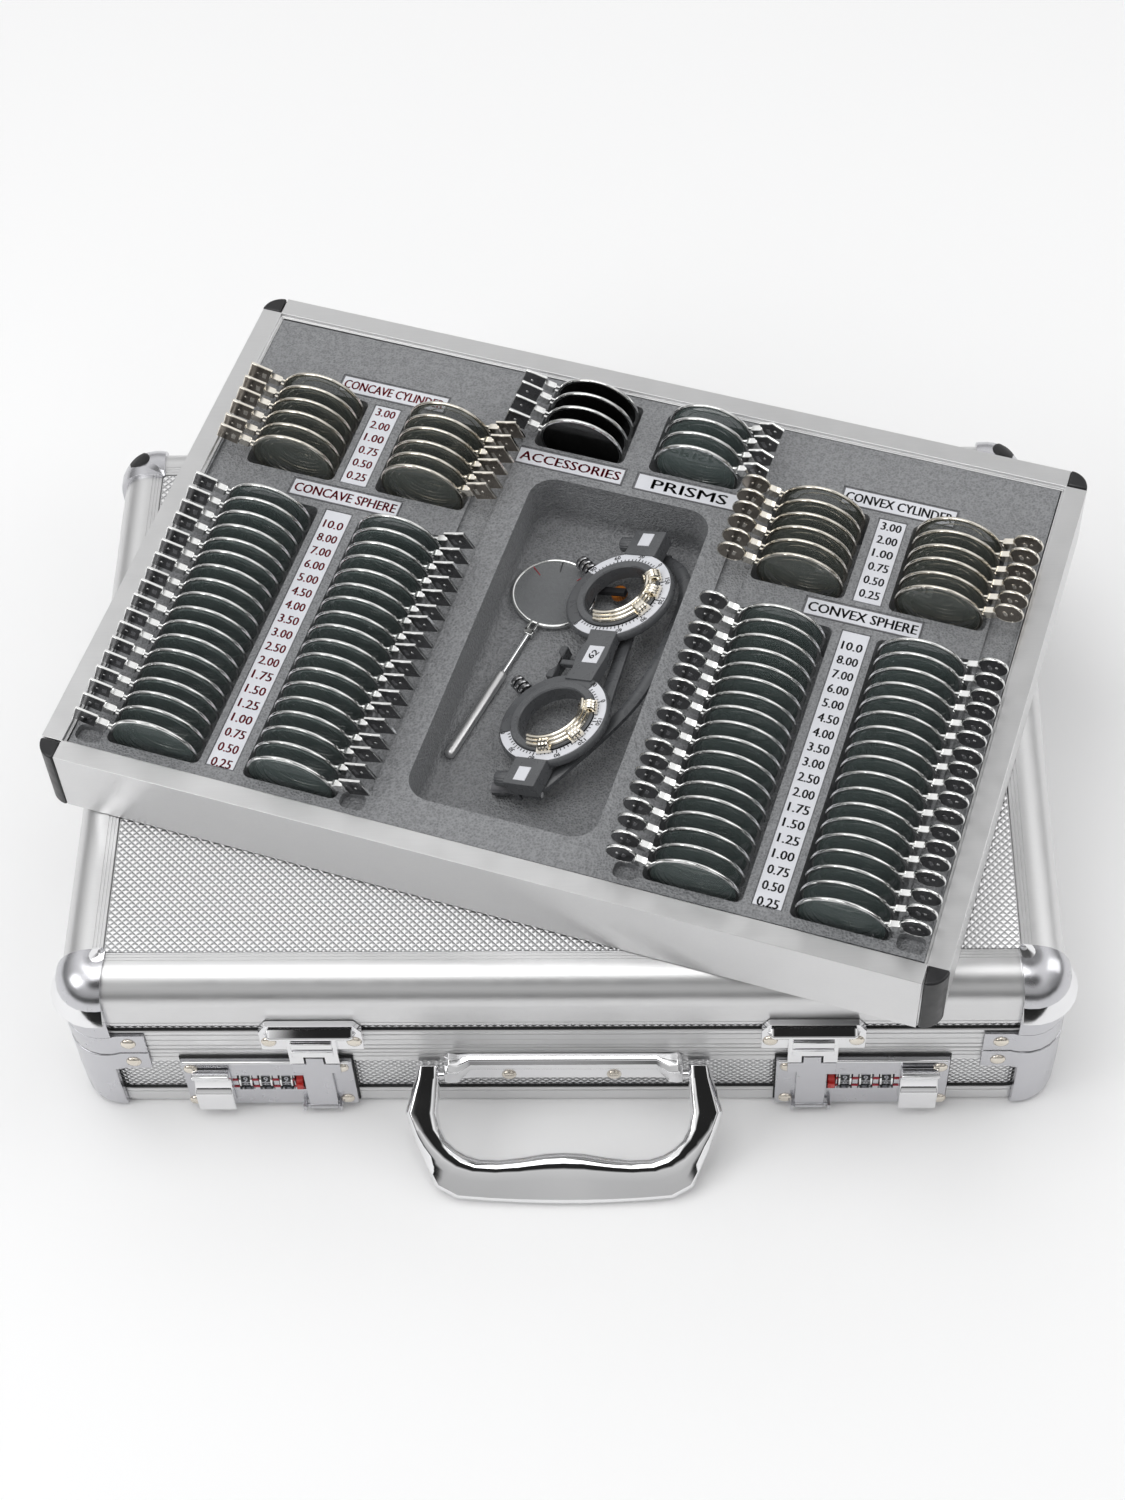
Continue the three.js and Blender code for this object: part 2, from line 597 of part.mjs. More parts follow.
function trialFrameTemple({ depth, route }) {
  const edge = (shift) => route.map(([x, y]) => [x + shift, y]);
  const arm = slabXY([...edge(TEMPLE_HALF), ...edge(-TEMPLE_HALF).reverse()], depth - 1.5, depth + 1.5);
  const barrel = barX(2.2, [-2.1, 6], route[0][1], depth);
  return arm.add(barrel);
}

// The saddle that rests on the nose, on a rod that slides under the bridge.
function trialFrameNoseRest() {
  const rod = block([-15, 4], [-1.5, 1.5], [-6.2, -3.2]);
  const saddle = block([-19, -15], [-9, 9], [-9, -3.2]);
  const notch = ringZ(0, 6, [-20, 0], -21.5, 0);
  return rod.add(saddle.subtract(notch));
}

function crossCylinder() {
  const [x, y] = CROSS_LENS;
  const low = TROUGH_FLOOR + GAP;
  const disc = ringZ(0, CROSS_RADIUS, [low + 0.6, low + 3.2], x, y, 28);
  const dx = CROSS_GRIP_END[0] - x;
  const dy = CROSS_GRIP_END[1] - y;
  const reach = Math.hypot(dx, dy);
  const turned = (radius, from, to, sides) => {
    const geometry = new THREE.CylinderGeometry(radius, radius, to - from, sides);
    geometry.translate(0, -(from + to) / 2, 0);
    geometry.rotateZ(Math.atan2(dy, dx) + Math.PI / 2);
    geometry.translate(x, y, low + 2.3);
    return solid(geometry);
  };
  const stem = turned(1.1, CROSS_RADIUS - 1, 50, 10);
  const grip = turned(2.3, 47, reach, 12);
  return join([disc, stem, grip]);
}

// ---- Assembly ----------------------------------------------------------------------------------

function buildBase(root) {
  const base = new THREE.Group();
  node(base, 'base_shell', baseShell(), EMBOSSED);
  node(base, 'base_bottom_frame', baseBottomProfile(), SATIN);
  node(base, 'base_rim_frame', rimProfile(RIM_PROFILE_BOTTOM, SPLIT_HEIGHT - RIM_CLEARANCE), SATIN);
  const capShell = baseCapShell();
  for (const [name, signX, signY] of CORNERS) {
    const region = cornerRegion(signX, signY, [-1, SPLIT_HEIGHT], [33, SPLIT_HEIGHT]);
    node(base, `base_corner_${name}`, capShell.intersect(region), SATIN);
  }
  node(base, 'hinge_base_left', hingeBaseLeaf(-HINGE_X), SATIN);
  node(base, 'hinge_base_right', hingeBaseLeaf(HINGE_X), SATIN);
  node(base, 'handle_bracket', handleBracket(), CHROME);
  const handle = node(base, 'handle', handleBail(), CHROME);
  handle.position.set(0, out(HANDLE_PIVOT_OUT), HANDLE_PIVOT_HEIGHT);
  handle.rotation.x = THREE.MathUtils.degToRad(HANDLE_DROOP);
  root.add(base);
}

function buildLid(root) {
  const lid = new THREE.Group();
  const stripTop = 66.3;
  const shell = join([
    casePrism(SHEET_INSET, 61.8, stripTop),
    caseLoft([[stripTop - 0.5, REBATE_INSET], [83.7, REBATE_INSET], [92.2, REBATE_INSET + 7]]),
    casePrism(PANEL_INSET + GAP, 92, CASE_HEIGHT - 0.2),
  ]).subtract(casePrism(LINING_INSET, 60, LID_CEILING));
  node(lid, 'lid_shell', shell, EMBOSSED);
  const topFrame = cut(caseLoft(lidLevels(0, stripTop + GAP)), [
    caseLoft([[65, PROFILE_INNER], [84, PROFILE_INNER], [92.5, PROFILE_INNER + 7]]),
    casePrism(PANEL_INSET, 90, 100),
  ]);
  node(lid, 'lid_top_frame', topFrame, SATIN);
  node(lid, 'lid_rim_frame', rimProfile(SPLIT_HEIGHT + RIM_CLEARANCE, 61.5), SATIN);
  node(lid, 'lid_lining_pad', casePrism(LINING_INSET + 1, 79, LID_CEILING - GAP), BOARD);
  const capShell = lidCapShell();
  for (const [name, signX, signY] of CORNERS) {
    const region = cornerRegion(signX, signY, [SPLIT_HEIGHT, 100], [SPLIT_HEIGHT, 60.3]);
    const material = signY < 0 ? CHROME : SATIN;
    node(lid, `lid_corner_${name}`, capShell.intersect(region), material);
  }
  node(lid, 'hinge_lid_left', hingeLidLeaf(-HINGE_X), SATIN);
  node(lid, 'hinge_lid_right', hingeLidLeaf(HINGE_X), SATIN);
  root.add(lid);
}

function buildLocks(root) {
  const locks = new THREE.Group();
  for (const [name, side] of [['left', -1], ['right', 1]]) {
    node(locks, `lock_plate_${name}`, lockPlate(side), SATIN);
    node(locks, `lock_hasp_${name}`, hasp(side), SATIN);
    node(locks, `lock_button_${name}`, releaseButton(side), CHROME);
    node(locks, `lock_reset_lever_${name}`, resetLever(side), RED);
    node(locks, `lock_catch_${name}`, lockCatch(side), CHROME);
    WHEEL_X.forEach((x, place) => {
      node(locks, `number_wheel_${name}_${place + 1}`, numberWheel(side, x), BLACK_PLASTIC);
    });
  }
  root.add(locks);
}

function buildTray(root) {
  const tray = new THREE.Group();
  tray.position.set(TRAY_X, TRAY_Y, CASE_HEIGHT + GAP);
  tray.rotation.z = THREE.MathUtils.degToRad(TRAY_TURN);
  node(tray, 'tray_frame', trayFrame(), SATIN);
  for (const [name, signX, signY] of CORNERS) {
    node(tray, `tray_corner_${name}`, trayCap(signX, signY), BLACK_PLASTIC);
  }
  node(tray, 'tray_insert', trayInsert(), GREY_PLASTIC);
  for (const [name, sign, roundTab] of [['concave', -1, false], ['convex', 1, true]]) {
    for (const [place, distance] of [['outer', OUTER_COLUMN_X], ['inner', INNER_COLUMN_X]]) {
      const x = sign * distance;
      const tabSide = place === 'outer' ? sign : -sign;
      const cylinders = lensColumn(x, CYLINDER_ROWS, tabSide, roundTab);
      const spheres = lensColumn(x, SPHERE_ROWS, tabSide, roundTab);
      node(tray, `lenses_${name}_cylinder_${place}`, cylinders, LENS_BRASS);
      node(tray, `lenses_${name}_sphere_${place}`, spheres, LENS_STEEL);
    }
  }
  node(tray, 'lenses_accessories', lensColumn(-MIDDLE_COLUMN_X, MIDDLE_ROWS, -1, false), LENS_BLACK);
  node(tray, 'lenses_prisms', lensColumn(MIDDLE_COLUMN_X, MIDDLE_ROWS, 1, false), LENS_STEEL);
  node(tray, 'cross_cylinder_lens', crossCylinder(), LENS_STEEL);
  buildTrialFrame(tray);
  root.add(tray);
}

function buildTrialFrame(tray) {
  const frame = new THREE.Group();
  frame.position.set(...FRAME_MIDDLE);
  frame.rotation.order = 'ZYX';
  frame.rotation.z = THREE.MathUtils.degToRad(FRAME_TURN);
  frame.rotation.y = THREE.MathUtils.degToRad(FRAME_TILT);
  node(frame, 'trial_frame_front', trialFrameFront(), FRAME_PLASTIC);
  node(frame, 'trial_frame_cell_back', trialFrameCell(1), LENS_BRASS);
  node(frame, 'trial_frame_cell_front', trialFrameCell(-1), LENS_BRASS);
  node(frame, 'trial_frame_temple_back', trialFrameTemple(TEMPLES.back), FRAME_PLASTIC);
  node(frame, 'trial_frame_temple_front', trialFrameTemple(TEMPLES.front), FRAME_PLASTIC);
  node(frame, 'trial_frame_nose_rest', trialFrameNoseRest(), FRAME_PLASTIC);
  tray.add(frame);
}

const trialLensSet = new THREE.Group();
buildBase(trialLensSet);
buildLid(trialLensSet);
buildLocks(trialLensSet);
buildTray(trialLensSet);

export default trialLensSet;
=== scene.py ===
import json
import math
import random

import bmesh
import bpy
from mathutils import Matrix, Vector


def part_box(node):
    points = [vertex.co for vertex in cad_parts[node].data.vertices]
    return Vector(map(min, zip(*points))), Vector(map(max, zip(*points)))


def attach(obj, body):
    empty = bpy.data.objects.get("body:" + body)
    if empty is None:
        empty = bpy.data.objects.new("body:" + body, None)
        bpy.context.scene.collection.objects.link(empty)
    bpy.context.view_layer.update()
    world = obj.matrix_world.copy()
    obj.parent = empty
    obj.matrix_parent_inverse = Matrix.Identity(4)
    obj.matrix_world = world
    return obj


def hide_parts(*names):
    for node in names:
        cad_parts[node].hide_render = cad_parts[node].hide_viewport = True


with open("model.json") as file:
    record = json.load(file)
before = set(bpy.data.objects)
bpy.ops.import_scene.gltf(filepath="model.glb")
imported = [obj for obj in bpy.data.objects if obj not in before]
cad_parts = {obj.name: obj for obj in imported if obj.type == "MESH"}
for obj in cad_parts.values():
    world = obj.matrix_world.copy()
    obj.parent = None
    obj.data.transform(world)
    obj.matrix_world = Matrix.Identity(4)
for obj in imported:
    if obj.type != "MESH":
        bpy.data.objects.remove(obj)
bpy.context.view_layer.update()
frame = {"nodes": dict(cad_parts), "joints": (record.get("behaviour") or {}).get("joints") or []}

# Shapes are written in millimetres and scaled once, when a mesh is made.
MM = 0.001
# Edges sharper than this many degrees stay sharp and get the bevel.
SHARP = 32
LETTER_DEPTH = 0.06
# Sideways shift of the copies that make lettering bold, as a share of its height.
LETTER_BOLD = 0.035
JOINTS = {joint["name"]: joint for joint in frame["joints"]}
random.seed(7)


def add_object(name, data):
    made = bpy.data.objects.new(name, data)
    bpy.context.scene.collection.objects.link(made)
    return made


# ---- Camera ----

CAMERA_PLACE = (44.4, -690.1, 1059.6)
CAMERA_RIGHT = (0.99925, 0.01591, -0.03533)
CAMERA_UP = (0.00686, 0.82474, 0.56547)
CAMERA_LENS = 67.03


def add_camera():
    data = bpy.data.cameras.new("camera")
    data.sensor_fit = "VERTICAL"
    data.sensor_height = 36
    data.lens = CAMERA_LENS
    data.clip_end = 20
    camera = add_object("camera", data)
    right = Vector(CAMERA_RIGHT).normalized()
    up = (Vector(CAMERA_UP) - right * right.dot(Vector(CAMERA_UP))).normalized()
    back = right.cross(up)
    turn = Matrix((right, up, back)).transposed().to_4x4()
    camera.matrix_world = Matrix.Translation(Vector(CAMERA_PLACE) * MM) @ turn
    bpy.context.scene.camera = camera


# ---- Shapes ----

class Shape:
    """Closed surfaces in millimetres, gathered into one mesh."""

    def __init__(self):
        self.verts = []
        self.faces = []
        self.slots = []

    def add(self, verts, faces, slot=0, place=None):
        base = len(self.verts)
        place = place or Matrix.Identity(4)
        self.verts += [place @ Vector(v) for v in verts]
        self.faces += [[base + i for i in face] for face in faces]
        self.slots += [slot] * len(faces)

    def loft(self, rings, slot=0, looped=False, place=None, cap_slots=None):
        """Rings of the same number of points, joined in order, with end caps unless looped."""
        count = len(rings[0])
        verts = [point for ring in rings for point in ring]
        faces = []
        steps = len(rings) if looped else len(rings) - 1
        for i in range(steps):
            low = i * count
            high = ((i + 1) % len(rings)) * count
            for k in range(count):
                after = (k + 1) % count
                faces.append((low + k, low + after, high + after, high + k))
        self.add(verts, faces, slot, place)
        if not looped:
            first, last = cap_slots or (slot, slot)
            base = len(self.verts) - len(verts)
            self.faces.append([base + k for k in reversed(range(count))])
            self.faces.append([base + (len(rings) - 1) * count + k for k in range(count)])
            self.slots += [first, last]

    def lathe(self, profile, steps=32, slot=0, place=None):
        """A profile of (radius, height) turned about Z. It closes on the axis or on itself."""
        on_axis = profile[0][0] == 0 and profile[-1][0] == 0
        rings = []
        for radius, height in profile:
            if radius == 0:
                continue
            turn = [2 * math.pi * k / steps for k in range(steps)]
            rings.append([(radius * math.cos(a), radius * math.sin(a), height) for a in turn])
        self.loft(rings, slot, looped=not on_axis, place=place)

    def box(self, xs, ys, zs, slot=0, place=None):
        ring = [(xs[0], ys[0]), (xs[1], ys[0]), (xs[1], ys[1]), (xs[0], ys[1])]
        self.prism(ring, zs[0], zs[1], slot, place)

    def prism(self, outline, low, high, slot=0, place=None):
        """An outline in XY, pulled up along Z."""
        rings = [[(x, y, z) for x, y in outline] for z in (low, high)]
        self.loft(rings, slot, place=place)

    def disc(self, radius, low, high, steps, slot=0, place=None, hole=0):
        """A round plate or pin along Z, or a ring where it has a hole."""
        self.lathe([(hole, low), (radius, low), (radius, high), (hole, high)], steps, slot, place)

    def tube(self, path, radius, sides, slot=0, place=None):
        """A round bar along a path of points. A radius may be a list, one per point."""
        points = [Vector(p) for p in path]
        radii = radius if isinstance(radius, (list, tuple)) else [radius] * len(points)
        side = None
        rings = []
        for i, point in enumerate(points):
            ahead = points[min(i + 1, len(points) - 1)] - points[max(i - 1, 0)]
            ahead.normalize()
            if side is None:
                start = Vector((0, 0, 1)) if abs(ahead.z) < 0.9 else Vector((1, 0, 0))
                side = ahead.cross(start)
            side = (side - ahead * side.dot(ahead)).normalized()
            rise = ahead.cross(side)
            turn = [2 * math.pi * k / sides for k in range(sides)]
            rings.append([point + radii[i] * (math.cos(a) * side + math.sin(a) * rise) for a in turn])
        self.loft(rings, slot, place=place)

    def text(self, words, height, place, slot=0, width=None):
        """Flat lettering centred on the place's origin, in its XY plane. Copies side by side make it bold."""
        curve = bpy.data.curves.new("lettering", "FONT")
        curve.body = words
        curve.align_x = "CENTER"
        curve.align_y = "CENTER"
        curve.resolution_u = 2
        curve.extrude = LETTER_DEPTH / 2
        holder = add_object("lettering", curve)
        mesh = holder.to_mesh()
        verts = [v.co.copy() for v in mesh.vertices]
        faces = [tuple(p.vertices) for p in mesh.polygons]
        holder.to_mesh_clear()
        bpy.data.objects.remove(holder)
        bpy.data.curves.remove(curve)
        low = Vector((min(v.x for v in verts), min(v.y for v in verts)))
        high = Vector((max(v.x for v in verts), max(v.y for v in verts)))
        middle = (low + high) / 2
        tall = height / (high.y - low.y)
        wide = width / (high.x - low.x) if width else tall
        fit = Matrix.Diagonal((wide, tall, 1, 1)) @ at(-middle.x, -middle.y, 0)
        for shift in (-LETTER_BOLD, 0, LETTER_BOLD):
            self.add(verts, faces, slot, place @ at(shift * height, 0, 0) @ fit)


def arc(centre, radius, start, end, steps):
    """Points on an arc in a plane, angles in degrees."""
    angles = [math.radians(start + (end - start) * i / steps) for i in range(steps + 1)]
    return [(centre[0] + radius * math.cos(a), centre[1] + radius * math.sin(a)) for a in angles]


def rounded_rectangle(x0, x1, y0, y1, radius, steps=6):
    corners = [(x1 - radius, y1 - radius), (x0 + radius, y1 - radius), (x0 + radius, y0 + radius),
               (x1 - radius, y0 + radius)]
    points = []
    for quarter, centre in enumerate(corners):
        points += arc(centre, radius, 90 * quarter, 90 * quarter + 90, steps)
    return points


def smooth_path(points, steps=6):
    """A Catmull-Rom curve through the points."""
    points = [Vector(p) for p in points]
    padded = [2 * points[0] - points[1]] + points + [2 * points[-1] - points[-2]]
    path = []
    for i in range(1, len(padded) - 2):
        a, b, c, d = padded[i - 1:i + 3]
        for k in range(steps):
            t = k / steps
            path.append(0.5 * (2 * b + (c - a) * t + (2 * a - 5 * b + 4 * c - d) * t * t
                               + (3 * b - 3 * c + d - a) * t ** 3))
    path.append(points[-1])
    return path


def turned(degrees, axis):
    return Matrix.Rotation(math.radians(degrees), 4, axis)


def at(x, y, z):
    return Matrix.Translation((x, y, z))


def mesh_of(name, shape, materials=()):
    """A shape's surfaces as a mesh in metres, all facing outwards."""
    mesh = bpy.data.meshes.new(name)
    mesh.from_pydata([v * MM for v in shape.verts], [], shape.faces)
    for material in materials:
        mesh.materials.append(material)
    mesh.polygons.foreach_set("material_index", shape.slots)
    work = bmesh.new()
    work.from_mesh(mesh)
    bmesh.ops.recalc_face_normals(work, faces=work.faces)
    work.to_mesh(mesh)
    work.free()
    return mesh


def shade(mesh, sharp=SHARP):
    mesh.shade_smooth()
    mesh.set_sharp_from_angle(angle=math.radians(sharp))


def finish_piece(piece, body, nodes):
    """Says what a piece rides on and which CAD nodes it replaces."""
    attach(piece, body)
    if nodes:
        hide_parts(*nodes)
    return piece


def soften(piece, bevel, segments):
    if bevel:
        edges = piece.modifiers.new("edges", "BEVEL")
        edges.width = bevel * MM
        edges.segments = segments
        edges.limit_method = "ANGLE"
        edges.angle_limit = math.radians(SHARP)
        edges.use_clamp_overlap = True


def make(name, shape, materials, body, slot, nodes=(), place=None, bevel=0, segments=2, sharp=SHARP):
    """Turns a shape into a piece that rides on a body. place is in millimetres."""
    mesh = mesh_of(name, shape, materials)
    shade(mesh, sharp)
    piece = add_object(name, mesh)
    if place is not None:
        scaled = place.copy()
        scaled.translation = place.translation * MM
        piece.matrix_world = scaled
    soften(piece, bevel, segments)
    return finish_piece(piece, body, nodes)


def refine(node, material, body, bevel, segments=2):
    """A CAD part's exact shape as a new piece, with its facets merged and its edges rounded."""
    mesh = frame["nodes"][node].data.copy()
    mesh.name = node + "_fine"
    mesh.materials.clear()
    mesh.materials.append(material)
    work = bmesh.new()
    work.from_mesh(mesh)
    bmesh.ops.remove_doubles(work, verts=work.verts, dist=0.00002)
    bmesh.ops.dissolve_limit(work, angle_limit=math.radians(1), verts=work.verts, edges=work.edges)
    work.to_mesh(mesh)
    work.free()
    shade(mesh)
    piece = add_object(node + "_fine", mesh)
    soften(piece, bevel, segments)
    return finish_piece(piece, body, [node])


# ---- Materials ----

class Finish:
    """A Principled material with procedural colour, roughness and relief from object coordinates."""

    def __init__(self, name, color, metallic=0.0, roughness=0.5, **sockets):
        self.material = bpy.data.materials.new(name)
        self.material.use_nodes = True
        self.tree = self.material.node_tree
        self.shader = self.tree.nodes["Principled BSDF"]
        self.shader.inputs["Base Color"].default_value = (*color, 1)
        self.shader.inputs["Metallic"].default_value = metallic
        self.shader.inputs["Roughness"].default_value = roughness
        for socket, value in sockets.items():
            self.shader.inputs[socket.replace("_", " ")].default_value = value
        self.coordinates = self.node("ShaderNodeTexCoord").outputs["Object"]
        self.relief = None

    def node(self, kind, **settings):
        node = self.tree.nodes.new(kind)
        for key, value in settings.items():
            setattr(node, key, value)
        return node

    def link(self, output, socket):
        self.tree.links.new(output, socket)

    def math(self, operation, a, b=None):
        node = self.node("ShaderNodeMath", operation=operation)
        for index, value in enumerate((a, b)):
            if value is None:
                continue
            if isinstance(value, (int, float)):
                node.inputs[index].default_value = value
            else:
                self.link(value, node.inputs[index])
        return node.outputs[0]

    def noise(self, size, stretch=(1, 1, 1), detail=3.0):
        """Noise with features about size millimetres wide."""
        mapping = self.node("ShaderNodeMapping")
        mapping.inputs["Scale"].default_value = [1 / (size * MM * s) for s in stretch]
        self.link(self.coordinates, mapping.inputs["Vector"])
        noise = self.node("ShaderNodeTexNoise")
        noise.inputs["Scale"].default_value = 1
        noise.inputs["Detail"].default_value = detail
        self.link(mapping.outputs[0], noise.inputs["Vector"])
        return noise.outputs["Fac"]

    def cells(self, size):
        """Distance to the nearest of scattered points about size millimetres apart."""
        voronoi = self.node("ShaderNodeTexVoronoi")
        voronoi.inputs["Scale"].default_value = 1 / (size * MM)
        self.link(self.coordinates, voronoi.inputs["Vector"])
        return voronoi.outputs["Distance"]

    def spread(self, value, low, high, start=0.3, end=0.7):
        """A value from start to end, stretched to run from low to high."""
        node = self.node("ShaderNodeMapRange")
        node.inputs["From Min"].default_value = start
        node.inputs["From Max"].default_value = end
        node.inputs["To Min"].default_value = low
        node.inputs["To Max"].default_value = high
        self.link(value, node.inputs["Value"])
        return node.outputs[0]

    def color(self, value, first, second):
        mix = self.node("ShaderNodeMix", data_type="RGBA")
        mix.inputs["A"].default_value = (*first, 1)
        mix.inputs["B"].default_value = (*second, 1)
        self.link(value, mix.inputs["Factor"])
        self.link(mix.outputs["Result"], self.shader.inputs["Base Color"])
        return self

    def rough(self, value, low, high):
        self.link(self.spread(value, low, high), self.shader.inputs["Roughness"])
        return self

    def bump(self, value, depth, strength=1.0):
        """Relief about depth millimetres deep."""
        bump = self.node("ShaderNodeBump")
        bump.inputs["Strength"].default_value = strength
        bump.inputs["Distance"].default_value = depth * MM
        self.link(value, bump.inputs["Height"])
        if self.relief is not None:
            self.link(self.relief, bump.inputs["Normal"])
        self.relief = bump.outputs["Normal"]
        self.link(self.relief, self.shader.inputs["Normal"])
        return self


def satin_aluminium(name, stretch, tone=0.72):
    made = Finish(name, (tone, tone, tone), 1.0, 0.36)
    brushed = made.noise(0.35, stretch, 2.0)
    made.rough(made.noise(9), 0.35, 0.4)
    made.color(brushed, (tone - 0.02, tone - 0.02, tone - 0.015), (tone + 0.03, tone + 0.03, tone + 0.03))
    return made.bump(brushed, 0.006, 0.4).material


def varied(made, dark, light, roughness, sizes, depth, strength):
    """Colour, roughness and relief that each drift by noise of their own size in millimetres."""
    tone_size, gloss_size, grain_size = sizes
    made.color(made.noise(tone_size), dark, light)
    made.rough(made.noise(gloss_size), *roughness)
    return made.bump(made.noise(grain_size), depth, strength).material


def cast_satin():
    made = Finish("cast_satin", (0.58, 0.58, 0.605), 1.0, 0.24)
    return varied(made, (0.55, 0.55, 0.575), (0.61, 0.61, 0.635), (0.22, 0.28), (30, 6, 0.5), 0.004, 0.4)


def chrome():
    made = Finish("chrome", (0.86, 0.86, 0.87), 1.0, 0.06)
    return varied(made, (0.82, 0.82, 0.835), (0.9, 0.9, 0.905), (0.04, 0.1), (25, 12, 14), 0.04, 0.35)


EMBOSS_PITCH = 3.2


def embossed(name, on_walls):
    """Sheet aluminium with small raised diamonds in staggered rows, with painted shade in the valleys between
    them.
    """
    made = Finish(name, (0.82, 0.82, 0.825), 1.0, 0.3)
    split = made.node("ShaderNodeSeparateXYZ")
    made.link(made.coordinates, split.inputs[0])
    x, y, z = split.outputs
    if on_walls:
        normal = made.node("ShaderNodeSeparateXYZ")
        made.link(made.node("ShaderNodeNewGeometry").outputs["True Normal"], normal.inputs[0])
        sideways = made.math("GREATER_THAN", made.math("ABSOLUTE", normal.outputs[0]), 0.71)
        along_x = made.math("MULTIPLY", x, made.math("SUBTRACT", 1.0, sideways))
        s = made.math("ADD", along_x, made.math("MULTIPLY", y, sideways))
        t = z
    else:
        s, t = x, y
    pitch = EMBOSS_PITCH * MM

    def ridge(value):
        wave = made.math("FRACT", made.math("DIVIDE", value, pitch))
        return made.math("MULTIPLY", made.math("ABSOLUTE", made.math("SUBTRACT", wave, 0.5)), 2.0)

    widest = made.math("MAXIMUM", ridge(made.math("ADD", s, t)), ridge(made.math("SUBTRACT", s, t)))
    dome = made.math("SUBTRACT", 1.0, made.math("POWER", widest, 1.6))
    # Painted shade: the colour darkens from the tops of the diamonds down into the valleys between them.
    made.color(dome, (0.5, 0.5, 0.51), (0.95, 0.95, 0.95))
    made.rough(made.noise(20), 0.3, 0.36)
    made.bump(dome, 0.4, 1.0)
    return made.bump(made.noise(0.3), 0.01, 0.4).material


def grained_grey():
    """Vacuum-formed sheet with a leather grain."""
    made = Finish("grained_grey", (0.2, 0.2, 0.21), 0.0, 0.5)
    grain = made.cells(1.0)
    coarse = made.noise(2.2, detail=4.0)
    height = made.math("ADD", grain, made.math("MULTIPLY", coarse, 1.1))
    made.color(made.spread(height, 0.0, 1.0, 0.45, 1.3), (0.14, 0.143, 0.15), (0.27, 0.275, 0.285))
    made.rough(coarse, 0.3, 0.5)
    return made.bump(height, 0.45, 1.0).material


def moulded(name, dark, light, roughness, grain=0.6, depth=0.02):
    """Plastic, rubber or ink. grain is the size of its relief in millimetres."""
    made = Finish(name, light, 0.0, roughness)
    return varied(made, dark, light, (roughness - 0.06, roughness + 0.08), (8, 4, grain), depth, 0.6)


def polished(name, dark, light, low=0.08, high=0.2):
    """Metal with a roughness from low to high."""
    made = Finish(name, light, 1.0, low)
    return varied(made, dark, light, (low, high), (6, 5, 1.5), 0.01, 0.4)


def lens_glass(name, tint, cover=0.4):
    """Thin tinted glass: partly clear, with a faint bloom and sharp reflections."""
    made = Finish(name, tint, 0.0, 0.03, Alpha=cover, IOR=1.9)
    dark = [value * 0.75 for value in tint]
    return varied(made, dark, tint, (0.02, 0.06), (25, 9, 20), 0.01, 0.15)


def foam():
    made = Finish("lining_foam", (0.035, 0.035, 0.04), 0.0, 0.95)
    pores = made.cells(0.9)
    made.color(pores, (0.015, 0.015, 0.018), (0.06, 0.06, 0.065))
    made.rough(made.noise(3), 0.85, 1.0)
    return made.bump(pores, 0.5, 0.9).material


def lining():
    made = Finish("lining_cloth", (0.03, 0.03, 0.032), 0.0, 0.9)
    fibres = made.noise(0.4, (1, 3, 1), 4.0)
    made.color(fibres, (0.02, 0.02, 0.022), (0.055, 0.055, 0.06))
    made.rough(made.noise(10), 0.8, 0.95)
    return made.bump(fibres, 0.15, 0.8).material


SATIN_X = satin_aluminium("satin_aluminium", (40, 1, 1))
SATIN_PLAIN = satin_aluminium("satin_fittings", (4, 4, 1), 0.71)
CAST = cast_satin()
CHROME = chrome()
EMBOSSED_TOP = embossed("embossed_panel", False)
EMBOSSED_SIDE = embossed("embossed_sides", True)
GREY = grained_grey()
BLACK = moulded("black_plastic", (0.008, 0.008, 0.009), (0.02, 0.02, 0.022), 0.35)
RUBBER = moulded("black_rubber", (0.01, 0.01, 0.01), (0.03, 0.03, 0.032), 0.7, 0.3, 0.05)
FRAME_GREY = moulded("frame_grey", (0.07, 0.073, 0.078), (0.12, 0.124, 0.13), 0.28)
LABEL = moulded("label_white", (0.66, 0.67, 0.71), (0.76, 0.77, 0.81), 0.4, 1.0, 0.01)
LABEL_EDGE = moulded("label_edge", (0.1, 0.1, 0.11), (0.2, 0.2, 0.21), 0.5)
INK_BLACK = moulded("ink_black", (0.01, 0.01, 0.012), (0.02, 0.02, 0.022), 0.5)
INK_RED = moulded("ink_red", (0.3, 0.006, 0.018), (0.38, 0.01, 0.025), 0.5)
RED = moulded("red_plastic", (0.4, 0.01, 0.008), (0.6, 0.025, 0.015), 0.25)
RIVET = polished("rivet", (0.68, 0.62, 0.53), (0.85, 0.8, 0.72), 0.15, 0.3)
STEEL = polished("lens_steel", (0.78, 0.79, 0.78), (0.93, 0.93, 0.92))
WARM_STEEL = polished("lens_warm_steel", (0.74, 0.7, 0.62), (0.92, 0.88, 0.8))
DARK_STEEL = polished("tab_dark_steel", (0.1, 0.1, 0.103), (0.24, 0.24, 0.245), 0.15, 0.3)
GREY_STEEL = polished("tab_grey_steel", (0.3, 0.3, 0.31), (0.52, 0.52, 0.53), 0.14, 0.28)
WARM_GREY = polished("tab_warm_steel", (0.2, 0.175, 0.15), (0.42, 0.38, 0.33), 0.14, 0.28)
BRASS = polished("cell_brass", (0.74, 0.68, 0.57), (0.96, 0.92, 0.83), 0.06, 0.16)
AMBER = moulded("amber_knob", (0.3, 0.08, 0.008), (0.5, 0.17, 0.02), 0.3)
GLASS_SPHERE = lens_glass("glass_sphere", (0.22, 0.28, 0.27))
GLASS_CYLINDER = lens_glass("glass_cylinder", (0.23, 0.255, 0.235))
GLASS_CROSS = lens_glass("glass_cross", (0.32, 0.33, 0.34), 0.45)
